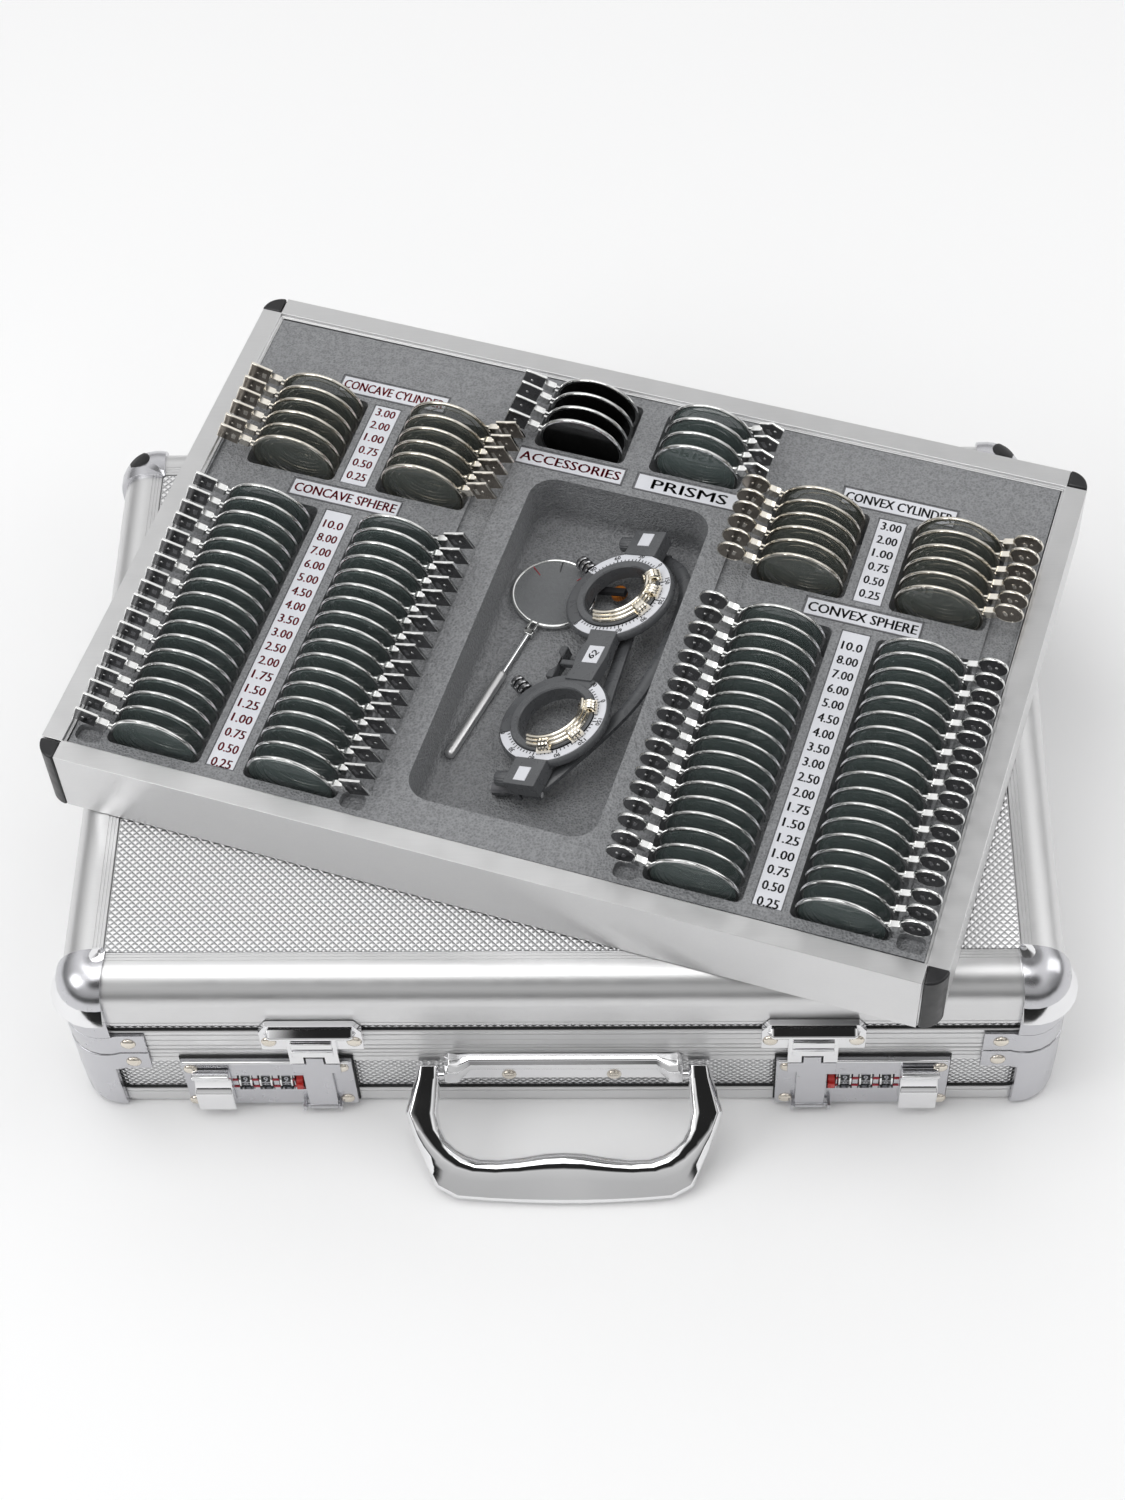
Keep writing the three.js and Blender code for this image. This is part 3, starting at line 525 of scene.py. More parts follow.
BLACK_DISC = moulded("black_disc", (0.003, 0.003, 0.003), (0.008, 0.008, 0.008), 0.15)
FOAM = foam()
LINING = lining()


# ---- Places taken from the frame ----

def centre_of(node):
    low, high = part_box(node)
    return (low + high) / 2 / MM


def joint_point(name):
    return Vector(JOINTS[name]["pos_m"]) / MM


def tray_place():
    """From the tray's own axes to the row frame."""
    across = centre_of("tray_corner_front_right") - centre_of("tray_corner_front_left")
    middle = sum((centre_of("tray_corner_" + c) for c in CORNERS), Vector()) / 4
    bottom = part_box("tray_frame")[0].z / MM
    return at(middle.x, middle.y, bottom) @ Matrix.Rotation(math.atan2(across.y, across.x), 4, "Z")


CORNERS = ("front_left", "front_right", "back_left", "back_right")
SIGNS = {"front_left": (-1, -1), "front_right": (1, -1), "back_left": (-1, 1), "back_right": (1, 1)}
CASE_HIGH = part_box("base_bottom_frame")[1] / MM
HALF_X = CASE_HIGH.x
HALF_Y = CASE_HIGH.y
CORNER = 20.0
# Inset of the cavity walls in the base and the lid.
LINING_INSET = 9.5
# The rounded edge round the lid's top, and how far the corner caps stand out.
CASE_TOP = 94
TOP_RADIUS = 13
PROUD = 1.8
FRONT = -HALF_Y
TRAY = tray_place()


# ---- Case profiles ----

def case_outline(inset, z, steps=10):
    radius = max(CORNER - inset, 0.5)
    x = HALF_X - inset
    y = HALF_Y - inset
    return [(px, py, z) for px, py in rounded_rectangle(-x, x, -y, y, radius, steps)]


def band(name, profile, body, nodes, material=None):
    """An extruded profile of (inset, height) points bent round the case."""
    shape = Shape()
    shape.loft([case_outline(inset, z) for inset, z in profile], looped=True)
    return make(name, shape, [material or SATIN_X], body, "satin_aluminium", nodes, sharp=25)


def groove(z, depth=0.3):
    """A fine line pressed into the outer face of a profile, from low to high."""
    half = 0.5
    return [(0, z - half), (depth, z - half / 2), (depth, z + half / 2), (0, z + half)]


def base_profiles():
    bottom = [(4.6, 0), (3.2, 0), (1.7, 0.35), (0.65, 1.15), (0.12, 2.4), (0, 4)]
    bottom += groove(9.8) + [(0, 11.7), (0.3, 12), (5.0, 12), (5.0, 0.4)]
    band("base_bottom_profile", bottom, "case_base", ["base_bottom_frame"])
    rim = [(0.3, 36.5), (0, 36.9)] + groove(40.5) + groove(43.6)
    rim += [(0, 45.8), (0.4, 46.2), (LINING_INSET, 46.2), (LINING_INSET, 36.5)]
    band("base_rim_profile", rim, "case_base", ["base_rim_frame"])


def lid_profiles():
    rim = [(0.4, 46.8), (0, 47.2)] + groove(50) + groove(54.5, 0.2) + groove(58.6)
    rim += [(0, 61.1), (0.4, 61.5), (LINING_INSET, 61.5), (LINING_INSET, 46.8)]
    band("lid_rim_profile", rim, "lid", ["lid_rim_frame"])
    top = [(5.0, 66.6), (0.4, 66.6), (0, 67.0)] + groove(69.0, 0.2)
    middle = CASE_TOP - TOP_RADIUS
    top += [(TOP_RADIUS - r, middle + z) for r, z in arc((0, 0), TOP_RADIUS, 0, 90, 12)]
    for ledge in (14.2, 15.6, 17.0):
        top += [(ledge, CASE_TOP), (ledge + 0.15, 93.75), (ledge + 0.55, 93.75), (ledge + 0.7, CASE_TOP)]
    top += [(18.3, CASE_TOP), (18.6, 93.7), (18.6, 92.5), (12, 92.5), (5.0, 84)]
    band("lid_top_profile", top, "lid", ["lid_top_frame"])


def seams():
    """Black bands of painted shadow where the profiles grip the embossed sheets."""
    for body, heights in (("case_base", (12.15, 36.35)), ("lid", (61.65, 66.5))):
        for index, z in enumerate(heights):
            line = [(0.5, z - 0.35), (0.5, z + 0.35), (3.0, z + 0.35), (3.0, z - 0.35)]
            band(f"painted_shadow_line_{body}_{index}", line, body, [], RUBBER)


# The embossed sheets: name, body, materials of the two end faces, and levels of (inset, height).
SHEETS = [
    ("base", "case_base", (2, 1), [(5.3, 0.3), (5.3, 12.3), (1.5, 12.3), (1.5, 36.2), (9.5, 36.2),
                                   (9.5, 4.2)]),
    ("lid", "lid", (1, 2), [(9.5, 87), (9.5, 61.8), (1.5, 61.8), (1.5, 66.2), (5.3, 66.2), (5.3, 83.7),
                            (12.3, 92.2), (18.9, 92.2), (18.9, 93.5), (19.2, 93.8)]),
]


def shells():
    for name, body, ends, levels in SHEETS:
        shape = Shape()
        shape.loft([case_outline(inset, z) for inset, z in levels], 0, cap_slots=ends)
        mark_lining(shape)
        outside = EMBOSSED_TOP if name == "lid" else BLACK
        materials = [EMBOSSED_SIDE, LINING, outside]
        make(name + "_sheet", shape, materials, body, "embossed_sheet", [name + "_shell"])


def mark_lining(shape):
    """The tall faces of the cavity wall get the second material."""
    reach = LINING_INSET - 0.1
    for index, face in enumerate(shape.faces):
        points = [shape.verts[i] for i in face]
        inside = all(abs(p.x) <= HALF_X - reach and abs(p.y) <= HALF_Y - reach for p in points)
        heights = [p.z for p in points]
        if len(face) == 4 and inside and max(heights) - min(heights) > 20:
            shape.slots[index] = 1


def lid_pad():
    """Convoluted foam that holds the lenses down when the lid is shut."""
    low, high = (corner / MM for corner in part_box("lid_lining_pad"))
    columns, rows = 76, 52
    shape = Shape()
    rings = []
    for j in range(rows + 1):
        y = low.y + 1 + (high.y - low.y - 2) * j / rows
        ring = []
        for i in range(columns + 1):
            x = low.x + 1 + (high.x - low.x - 2) * i / columns
            wave = 0.5 + 0.5 * math.cos(i * math.pi / 2) * math.cos(j * math.pi / 2)
            edge = min(i, columns - i, j, rows - j)
            depth = 2.6 * wave if edge > 1 else 1.2 * (2 - edge)
            ring.append((x, y, low.z + depth))
        rings.append(ring + [(p[0], p[1], high.z) for p in reversed(ring)])
    shape.loft(rings)
    pad = make("lid_foam_pad", shape, [FOAM], "lid", "lining_foam", ["lid_lining_pad"], sharp=80)


# ---- Corner caps ----

ARM_STOPS = [11.5, 9.5, 7.0, 4.0, 0.0]
ARC_STOPS = [0, 5, 10, 20, 30, 40, 50, 60, 70, 80, 85, 90]
# How far a cap's middle stands out past the case's own corner.
CORNER_BULGE = 3.3
# Inset that the inner face of a cap never passes.
CAP_DEEPEST = 19.5
# Where the riveted arms of a cap start and end: 11.5 mm along each straight side.
CAP_ARMS = (-11.5, 101.5)


def corner_point(signs, station, inset, z, bulge=0.0):
    """A point on one corner cap. Stations run from the X side, round the arc, to the Y side."""
    kind, value = station
    radius = CORNER - inset
    x = HALF_X - CORNER
    y = HALF_Y - CORNER
    if kind == "x_side":
        px, py = x - value, y + radius
    elif kind == "y_side":
        px, py = x + radius, y - value
    else:
        angle = math.radians(90 - value)
        radius += bulge * math.sin(2 * angle)
        px, py = x + radius * math.cos(angle), y + radius * math.sin(angle)
    return Vector((signs[0] * px, signs[1] * py, z))


def corner_stations(first, last):
    """Stations of a cap. A negative angle stands for millimetres along the straight side."""
    stations = [("x_side", d) for d in ARM_STOPS if d <= -first and d > 0] if first < 0 else []
    stations += [("arc", a) for a in ARC_STOPS if max(first, 0) <= a <= min(last, 90)]
    stations += [("y_side", d) for d in reversed(ARM_STOPS) if 0 < d <= last - 90] if last > 90 else []
    return stations


def cap_plate(shape, corner, levels, first, last, thick=1.5):
    """A curved plate over a corner: levels of (inset, z) from low to high, closed behind."""
    rings = []
    for station in corner_stations(first, last):
        outer = [corner_point(SIGNS[corner], station, inset, z, CORNER_BULGE) for inset, z in levels]
        inner = []
        for k, (inset, z) in enumerate(levels):
            before = levels[max(k - 1, 0)]
            after = levels[min(k + 1, len(levels) - 1)]
            run = Vector((after[0] - before[0], after[1] - before[1])).normalized()
            behind = min(inset + run.y * thick, CAP_DEEPEST)
            inner.append(corner_point(SIGNS[corner], station, behind, z - run.x * thick))
        rings.append(outer + inner[::-1])
    shape.loft(rings)


def lid_cap_levels(low, proud):
    """Levels of a lid cap: up the side, round the top edge and a little way in over the top."""
    middle = CASE_TOP - TOP_RADIUS
    radius = TOP_RADIUS + proud
    levels = [(-proud, low), (-proud, (low + middle) / 2), (-proud, middle)]
    for step in range(1, 9):
        angle = math.radians(90 * step / 8)
        levels.append((TOP_RADIUS - radius * math.cos(angle), middle + radius * math.sin(angle)))
    return levels + [(18.9, CASE_TOP + proud)]


def rivet(shape, place, radius, height=1.1):
    """A domed head standing along the place's Z."""
    dome = [(0.9, 0.55), (0.6, 0.9), (0.25, 1)]
    profile = [(0, -0.6), (radius, -0.6), (radius, 0.1)]
    profile += [(radius * across, height * up) for across, up in dome] + [(0, height)]
    shape.lathe(profile, 20, 0, place)


def facing(x, y, z, sign_x, sign_y):
    """A place on a side of the case with its Z pointing outwards."""
    if sign_y:
        return at(x, y, z) @ turned(90 if sign_y < 0 else -90, "X")
    return at(x, y, z) @ turned(90 if sign_x > 0 else -90, "Y")


def base_corner(corner):
    shape = Shape()
    foot = [(1.4, 0.05), (0.2, 0.6), (-0.9, 1.9), (-1.5, 3.8), (-PROUD, 6.5), (-PROUD, 14)]
    foot += [(-PROUD - 0.25, 24), (-PROUD, 31), (-PROUD, 46.1)]
    cap_plate(shape, corner, foot, 10, 80)
    arm = [(-PROUD + 0.25, 33.2), (-PROUD + 0.1, 36), (-PROUD + 0.1, 43), (-PROUD + 0.25, 46.1)]
    cap_plate(shape, corner, arm, *CAP_ARMS, 1.3)
    make("base_cap_" + corner, shape, [CAST], "case_base", "cast_satin", ["base_corner_" + corner],
         bevel=0.35, sharp=40)


def lid_corner(corner):
    at_front = SIGNS[corner][1] < 0
    shape = Shape()
    arm = [(-PROUD + 0.3, 46.9), (-PROUD + 0.1, 49), (-PROUD + 0.1, 57), (-PROUD + 0.3, 60.2)]
    cap_plate(shape, corner, arm, *CAP_ARMS, 1.2)
    cap_plate(shape, corner, lid_cap_levels(50.5, PROUD - 0.4), 5, 85)
    slot = "corner_chrome" if at_front else "cast_satin"
    make("lid_cap_" + corner, shape, [CAST], "lid", slot, ["lid_corner_" + corner],
         bevel=0.4, segments=3, sharp=40)
    if at_front:
        chrome_ball(corner)
    else:
        rubber_foot(corner)


# Profile of a bumper from its lower edge to the middle of its top: inset from the case side, and height.
BUMPER = [
    (-4.7, 74.6), (-3.5, 77.3), (-2.2, 80.1), (-0.8, 83.0), (0.8, 86.0),
    (3.4, 89.8), (6.8, 92.8), (10.2, 94.6), (13.0, 95.2), (19.2, 95.75),
]


def chrome_ball(corner):
    """The bright bumper on top of a front corner cap."""
    shape = Shape()
    cap_plate(shape, corner, BUMPER, 4, 86, 3.0)
    make("lid_bumper_" + corner, shape, [CHROME], "lid", "corner_chrome", bevel=1.1, segments=4, sharp=50)


def rubber_foot(corner):
    sign_x, sign_y = SIGNS[corner]
    shape = Shape()
    lean = Vector((sign_x, sign_y * 0.5, 1.0)).normalized()
    spin = lean.to_track_quat("Z", "Y").to_matrix().to_4x4()
    middle = Vector((sign_x * (HALF_X - 6.4), sign_y * (HALF_Y - 9.0), 91.0))
    profile = [(0, -1.5), (5.0, -1.5), (5.2, 0.6), (4.6, 1.7), (3.0, 2.3), (0, 2.5)]
    shape.lathe(profile, 32, 0, Matrix.Translation(middle) @ spin @ Matrix.Diagonal((1.0, 1.4, 1, 1)))
    make("rubber_foot_" + corner, shape, [RUBBER], "lid", "black_plastic", sharp=60)


def corner_rivets():
    base = Shape()
    lid = Shape()
    for corner in CORNERS:
        sign_x, sign_y = SIGNS[corner]
        y = sign_y * (HALF_Y + PROUD)
        x = sign_x * (HALF_X + PROUD)
        for shape, z in ((base, 39.4), (lid, 54.4)):
            rivet(shape, facing(sign_x * 178, y, z, 0, sign_y), 3.2)
            rivet(shape, facing(x, sign_y * 119, z, sign_x, 0), 3.2)
    make("base_corner_rivets", base, [RIVET], "case_base", "cast_satin", sharp=50)
    make("lid_corner_rivets", lid, [RIVET], "lid", "cast_satin", sharp=50)


# ---- Handle ----

# Pairs of inner and outer points of the bail: (x, distance from the pivot), and how flat its face is there.
BAIL_SECTIONS = [
    ((51.4, -4.4), (60.4, -4.4), 1.0), ((51.3, 1), (61.3, 1), 1.0), ((51.6, 8), (63.4, 8), 1.0),
    ((52.2, 15.4), (65.5, 15.4), 1.0), ((51.2, 22), (63.2, 22.5), 0.9), ((48.8, 27), (60.4, 30), 0.65),
    ((45.0, 30.6), (56.6, 39), 0.35), ((40.6, 33.2), (53.2, 46.6), 0.1), ((35, 34.9), (45, 51.2), 0.0),
    ((27, 35.2), (32, 52.3), 0.0), ((18, 34.2), (20, 53), 0.0), ((8, 32.6), (9, 53.4), 0.0),
    ((0, 32.2), (0, 53.5), 0.0),
]
# The bail's section where its face is flat and where it is round: shares of its width and half depth.
FLAT_SECTION = [
    (0, -0.7), (0, 0.3), (0.05, 0.72), (0.16, 0.95), (0.3, 1.0), (0.68, 1.0),
    (0.84, 0.97), (0.93, 0.7), (1, 0.2), (1, -0.6), (0.9, -1), (0.1, -1),
]
ROUND_SECTION = [
    (0, -0.6), (0, 0.2), (0.03, 0.55), (0.1, 0.85), (0.2, 1.0), (0.32, 0.93),
    (0.5, 0.7), (0.72, 0.41), (0.93, 0.12), (1, -0.35), (0.9, -1), (0.1, -0.95),
]
BAIL_HALF = 4.4


def bail_ring(inner, outer, flatness):
    ring = []
    for flat, full in zip(FLAT_SECTION, ROUND_SECTION):
        along = full[0] + (flat[0] - full[0]) * flatness
        rise = full[1] + (flat[1] - full[1]) * flatness
        x = inner[0] + (outer[0] - inner[0]) * along
        reach = inner[1] + (outer[1] - inner[1]) * along
        ring.append((x, -reach, BAIL_HALF * rise))
    return ring


def handle():
    pivot = joint_point("handle_swing")
    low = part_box("handle")[0] / MM
    droop = math.degrees(math.atan2(pivot.z - low.z - 3.7, pivot.y - low.y - 2.5))
    rings = [bail_ring(*section) for section in BAIL_SECTIONS]
    mirrored = [[(-x, y, z) for x, y, z in ring] for ring in rings[:-1]]
    shape = Shape()
    shape.loft(rings + mirrored[::-1])
    for side in (-1, 1):
        pin = at(side * 46.5, 0, 0) @ turned(90 * side, "Y")
        shape.disc(1.9, 0, 6, 16, 0, pin)
    place = at(pivot.x, pivot.y, pivot.z) @ turned(droop, "X")
    make("handle_bail", shape, [CHROME], "handle", "chrome_zinc", ["handle"], place, bevel=0.45, sharp=30)


# Stations of the bracket from its middle to one end: X, lowest edge, highest edge, how far the bar
# stands out and how deep it is.
BRACKET_STATIONS = [
    (38.5, 24.4, 43.4, 4.6, 8.8), (43.6, 23.4, 42.9, 8.0, 14.2),
    (47.2, 24.0, 44.2, 8.2, 15.5), (49.2, 25.5, 41.0, 7.6, 12.5),
]


def handle_bracket():
    """A half-round bar over a riveted flange, with a lug for the pin at each end."""
    shape = Shape()
    rings = []
    mirrored = [(-x, *rest) for x, *rest in reversed(BRACKET_STATIONS)]
    for x, low, high, reach, deep in mirrored + BRACKET_STATIONS:
        bar = [(0.3, high), (1.2, high), (reach * 0.72, high - 0.9), (reach, high - 3.2),
               (reach * 0.97, high - deep + 2.6), (reach * 0.72, high - deep)]
        flange = [(2.2, high - deep - 1), (2.2, low + 0.8), (1.7, low), (0.3, low)]
        rings.append([(x, FRONT - out, z) for out, z in bar + flange])
    shape.loft(rings)
    make("handle_bracket_bar", shape, [CHROME], "case_base", "chrome_zinc", ["handle_bracket"], bevel=0.5,
         segments=3, sharp=28)
    rivets = Shape()
    for x in (-22.9, 20.7):
        rivet(rivets, facing(x, FRONT - 2.2, 28.2, 0, -1), 3.1, 1.4)
    make("handle_bracket_rivets", rivets, [RIVET], "case_base", "chrome_zinc", sharp=50)


# ---- Locks ----

def shadow_gasket(node, body, slot):
    """A thin black plate a little larger than a plate on the front, standing behind it so that its rim paints
    the dark shadow line round it.
    """
    low, high = (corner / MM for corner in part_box(node))
    shade_plate = Shape()
    shade_plate.box((low.x - 0.6, high.x + 0.6), (FRONT - 0.7, FRONT + 0.6), (low.z - 0.3, high.z + 0.8))
    make(node + "_gasket", shade_plate, [RUBBER], body, slot, sharp=40)


# Section of the bar on a catch: distance out from the lid, and height about its middle.
CATCH_BAR = [(0, 3.4), (1.1, 3.4), (5.6, 0.4), (5.9, -0.5), (5.4, -1.8), (4.2, -2.4), (0, -2.4)]


def lock(name, side):
    # Painted shadow: a black plate behind the lock plate shows as the shadow line round it.
    shadow_gasket("lock_plate_" + name, "case_base", "satin_aluminium")
    refine("lock_plate_" + name, CAST, "case_base", 0.5)
    refine("lock_hasp_" + name, CAST, "hasp_" + name, 0.5)
    refine("lock_catch_" + name, CHROME, "lid", 0.7, 3)
    refine("lock_button_" + name, CHROME, "release_button_" + name, 0.6, 3)
    refine("lock_reset_lever_" + name, RED, "reset_lever_" + name, 0.5)
    details = Shape()
    y = FRONT - 2.8
    details.tube([(side * 88.6, y, 40.2), (side * 157.6, y, 40.2)], 0.75, 8, 2)
    for x, z in ((92, 35.6), (155, 34.6), (92, 8.4), (156.2, 7.4)):
        rivet(details, facing(side * x, y, z, 0, -1), 3.0, 1.2)
    for z in (25.2, 19.4):
        for near, far in ((112.6, 113.3), (119.3, 121.9), (127.9, 130.4), (136.4, 138.7)):
            details.box(sorted((side * near, side * far)), (y - 0.35, y + 0.1), (z - 0.5, z + 0.5), 1)
    make("lock_details_" + name, details, [RIVET, INK_RED, CHROME], "case_base", "satin_aluminium", sharp=50)
    catch = Shape()
    for x in (84.5, 119.5):
        rivet(catch, facing(side * x, FRONT - 3.1, 58.5, 0, -1), 3.2, 1.3)
    rings = []
    for x, grow in ((83.2, 0.45), (84.6, 0.9), (86, 1.0), (118, 1.0), (119.4, 0.9), (120.8, 0.45)):
        rings.append([(side * x, FRONT - 0.5 - out * grow, 66 + rise * grow) for out, rise in CATCH_BAR])
    catch.loft(rings, 1)
    for zs in ((57.5, 61.5), (51.0, 55.0)):
        catch.box(sorted((side * 93.5, side * 110.5)), (FRONT - 6.3, FRONT - 5.0), zs, 1)
    make("lock_catch_details_" + name, catch, [RIVET, CHROME], "lid", "chrome_zinc", bevel=0.5)
    for place in (1, 2, 3):
        number_wheel(name, place)


def number_wheel(name, place):
    """A black wheel between two bright flanges, with ten white digits and a line between each two."""
    node = f"number_wheel_{name}_{place}"
    axis = joint_point(f"number_wheel_turn_{name}_{place}")
    shape = Shape()
    for side in (-1, 1):
        flange = [(1.3, 1.7), (5.5, 1.7), (5.9, 1.95), (5.9, 2.6), (5.6, 2.8), (1.3, 2.8)]
        shape.lathe([(r, side * h) for r, h in flange], 30, 0, turned(90, "Y"))
    shape.disc(5.3, -1.75, 1.75, 40, 1, turned(90, "Y"), 1.3)
    for digit in range(10):
        turn = turned(36 * digit + 10, "X") @ at(0, -5.36, 0) @ turned(90, "X")
        shape.text(str(digit), 2.4, turn, 2, 1.7)
        shape.box((-1.7, 1.7), (-5.42, -5.2), (-0.12, 0.12), 2, turned(36 * digit + 28, "X"))
    make(f"wheel_{name}_{place}", shape, [STEEL, BLACK, LABEL], node, "wheel_plastic", [node], at(*axis),
         sharp=40)


# ---- Hinges ----

def hinges():
    for name in ("left", "right"):
        refine("hinge_base_" + name, SATIN_PLAIN, "case_base", 0.25)
        refine("hinge_lid_" + name, SATIN_PLAIN, "lid", 0.25)
        x = centre_of("hinge_lid_" + name).x
        y = HALF_Y + 1.5
        for body, z in (("case_base", 37.5), ("lid", 54.5)):
            shape = Shape()
            for offset in (-13, 0, 13):
                rivet(shape, facing(x + offset, y, z, 0, 1), 2.0, 0.8)
            make(f"hinge_rivets_{body}_{name}", shape, [RIVET], body, "satin_aluminium", sharp=50)


# ---- Tray ----

TRAY_HALF = (190.0, 132.4)
INSERT_TOP = 32.3
OUTER_X, INNER_X, MIDDLE_X = 144.6, 84.6, 26.2
POCKET_HALF = 20.5
# Rows of lenses: Y of the first one, pitch and number.
ROWS = {"cylinder": (82, 7.5, 6), "sphere": (16, 7.6, 18), "middle": (112.4, 8, 4)}
POCKETS = [(x, y0, y1) for x in (-OUTER_X, -INNER_X, INNER_X, OUTER_X) for y0, y1 in ((-117, 23), (38.5, 86))]
POCKETS += [(-MIDDLE_X, 83, 117), (MIDDLE_X, 83, 117)]
CHANNELS = [(-178.9, -166.5), (-63, -51.5), (52, 63), (166.5, 178.9)]
TROUGH = (-39.7, 40.7, -106.7, 67.1)
# Title labels: words, the edges along X and along Y, and whether they are red.
TITLES = [
    ("CONCAVE CYLINDER", -140.5, -90.5, 89, 98.3, True), ("CONCAVE SPHERE", -140.5, -90.5, 27, 36.2, True),
    ("ACCESSORIES", -51.7, -2.9, 71.7, 80.9, True), ("PRISMS", 2.7, 51, 71.7, 80.9, False),
    ("CONVEX CYLINDER", 90.4, 140.4, 89, 98.3, False), ("CONVEX SPHERE", 90.4, 140.4, 27, 36.2, False),
]
POWERS = {
    "sphere": ["10.0", "8.00", "7.00", "6.00", "5.00", "4.50", "4.00", "3.50", "3.00", "2.50", "2.00",
               "1.75", "1.50", "1.25", "1.00", "0.75", "0.50", "0.25"],
    "cylinder": ["3.00", "2.00", "1.00", "0.75", "0.50", "0.25"],
}
# Strips of powers: distance from the tray's middle, half width, and ends along Y.
STRIP_X = 115
STRIP_HALF = 5.8
STRIPS = {"sphere": (-115.5, 23), "cylinder": (39.6, 85.2)}
# Labels lie in shallow beds that are a little larger than they are.
LABEL_BED = 31.7
LABEL_TOP = 32.25
LABEL_ROOM = 0.5


def tray_insert():
    """The vacuum-formed insert: one block with every pocket cut in it and all edges rounded."""
    half_x = TRAY_HALF[0] - 10.5
    half_y = TRAY_HALF[1] - 10.5
    block = Shape()
    block.box((-half_x, half_x), (-half_y, half_y), (3.0, INSERT_TOP))
    tools = Shape()
    high = INSERT_TOP + 5
    for x, y0, y1 in POCKETS:
        tools.prism(rounded_rectangle(x - POCKET_HALF, x + POCKET_HALF, y0, y1, 3, 4), 10.5, high)
    for x0, x1 in CHANNELS:
        tools.prism(rounded_rectangle(x0, x1, -110.5, 86, 2.5, 4), 30.4, high)
        tools.prism(rounded_rectangle(x0 + 0.6, x1 - 0.6, -119.4, -111.6, 2.8, 5), 28.6, high)
    trough = []
    for inset, z in ((6.0, 4.3), (3.4, 4.7), (1.6, 5.9), (0.5, 8.0), (0.0, 11.0), (0.0, high)):
        x0, x1, y0, y1 = TROUGH
        ring = rounded_rectangle(x0 + inset, x1 - inset, y0 + inset, y1 - inset, 11 - inset * 0.6, 8)
        trough.append([(x, y, z) for x, y in ring])
    tools.loft(trough)
    labels = [title[1:5] for title in TITLES]
    for x in (-STRIP_X, STRIP_X):
        labels += [(x - STRIP_HALF, x + STRIP_HALF, y0, y1) for y0, y1 in STRIPS.values()]
    for x0, x1, y0, y1 in labels:
        tools.box((x0 - LABEL_ROOM, x1 + LABEL_ROOM), (y0 - LABEL_ROOM, y1 + LABEL_ROOM), (LABEL_BED, high))
    piece = make("insert_tray", block, [GREY], "tray", "grained_grey_plastic", ["tray_insert"], place=TRAY)
    cutter = add_object("cutter", mesh_of("cutter", tools))
    cutter.matrix_world = piece.matrix_world
    cut = piece.modifiers.new("pockets", "BOOLEAN")
    cut.operation = "DIFFERENCE"
    cut.solver = "EXACT"
    cut.use_self = True
    cut.object = cutter
    bpy.context.view_layer.update()
    mesh = bpy.data.meshes.new_from_object(piece.evaluated_get(bpy.context.evaluated_depsgraph_get()))
    piece.modifiers.clear()
    piece.data = mesh
    bpy.data.objects.remove(cutter)
    shade(mesh)
    soften(piece, 0.9, 3)


def tray_rails():
    refine("tray_frame", SATIN_X, "tray", 0.45)
    quarter = [(0, 0)] + arc((0, 0), 8.6, 0, 90, 10)
    x = TRAY_HALF[0] - 8.4
    y = TRAY_HALF[1] - 8.4
    for corner in CORNERS:
        sign_x, sign_y = SIGNS[corner]
        shape = Shape()
        shape.prism([(sign_x * (x + px), sign_y * (y + py)) for px, py in quarter], -0.1, 34.6)
        make("tray_cap_" + corner, shape, [BLACK], "tray", "black_plastic", ["tray_corner_" + corner],
             TRAY, bevel=0.9, segments=3)


def tray_labels():
    plates = Shape()
    inks = Shape()
    for words, x0, x1, y0, y1, red in TITLES:
        plates.box((x0, x1), (y0, y1), (LABEL_BED, 32.1), 1)
        plates.box((x0 + 0.5, x1 - 0.5), (y0 + 0.5, y1 - 0.5), (LABEL_BED, LABEL_TOP), 0)
        middle = at((x0 + x1) / 2, (y0 + y1) / 2, LABEL_TOP)
        size = 4.9 if len(words) > 8 else 5.4
        inks.text(words, size, middle, 1 if red else 0, min(x1 - x0 - 3.4, 5.6 * len(words)))
    for x in (-STRIP_X, STRIP_X):
        for kind, ends in STRIPS.items():
            plates.box((x - STRIP_HALF, x + STRIP_HALF), ends, (LABEL_BED, LABEL_TOP), 0)
            first, pitch, _ = ROWS[kind]
            for row, power in enumerate(POWERS[kind]):
                place = at(x, first - row * pitch - 0.3, LABEL_TOP)
                inks.text(power, 4.3, place, 1 if x < 0 else 0, 8.6)
    make("tray_label_plates", plates, [LABEL, LABEL_EDGE], "tray", "grained_grey_plastic", place=TRAY,
         bevel=0.1, segments=1)
    make("tray_lettering", inks, [INK_BLACK, INK_RED], "tray", "grained_grey_plastic", place=TRAY, sharp=30)


# ---- Lenses ----

LENS_CENTRE_Z = 32.0
LENS_LEAN = 7.0
RETAINER = [(15.6, -0.75), (17.6, -0.95), (17.6, -0.7), (15.9, -0.6)]
STEP_RADII = (14.9, 12.2)
RIM = [
    (17.5, -0.75), (18.3, -0.85), (18.8, -0.6), (19.05, -0.1),
    (19.05, 0.3), (18.7, 0.7), (17.9, 0.75), (17.3, 0.3),
]
# Panes from the middle to the edge: radius and half thickness.
PANES = {
    "concave": [(0, 0.45), (8, 0.6), (13, 0.85), (17.6, 1.2)],
    "convex": [(0, 1.7), (7, 1.5), (13, 1.0), (17.6, 0.4)],
    "black": [(0, 0.5), (17.6, 0.5)],
    "cross": [(0, 1.0), (9, 0.85), (17.4, 0.5)],
}


def both_sides(half):
    """A whole section from its upper half: the lower side outwards, then the upper side back."""
    return [(radius, -height) for radius, height in half] + half[::-1]


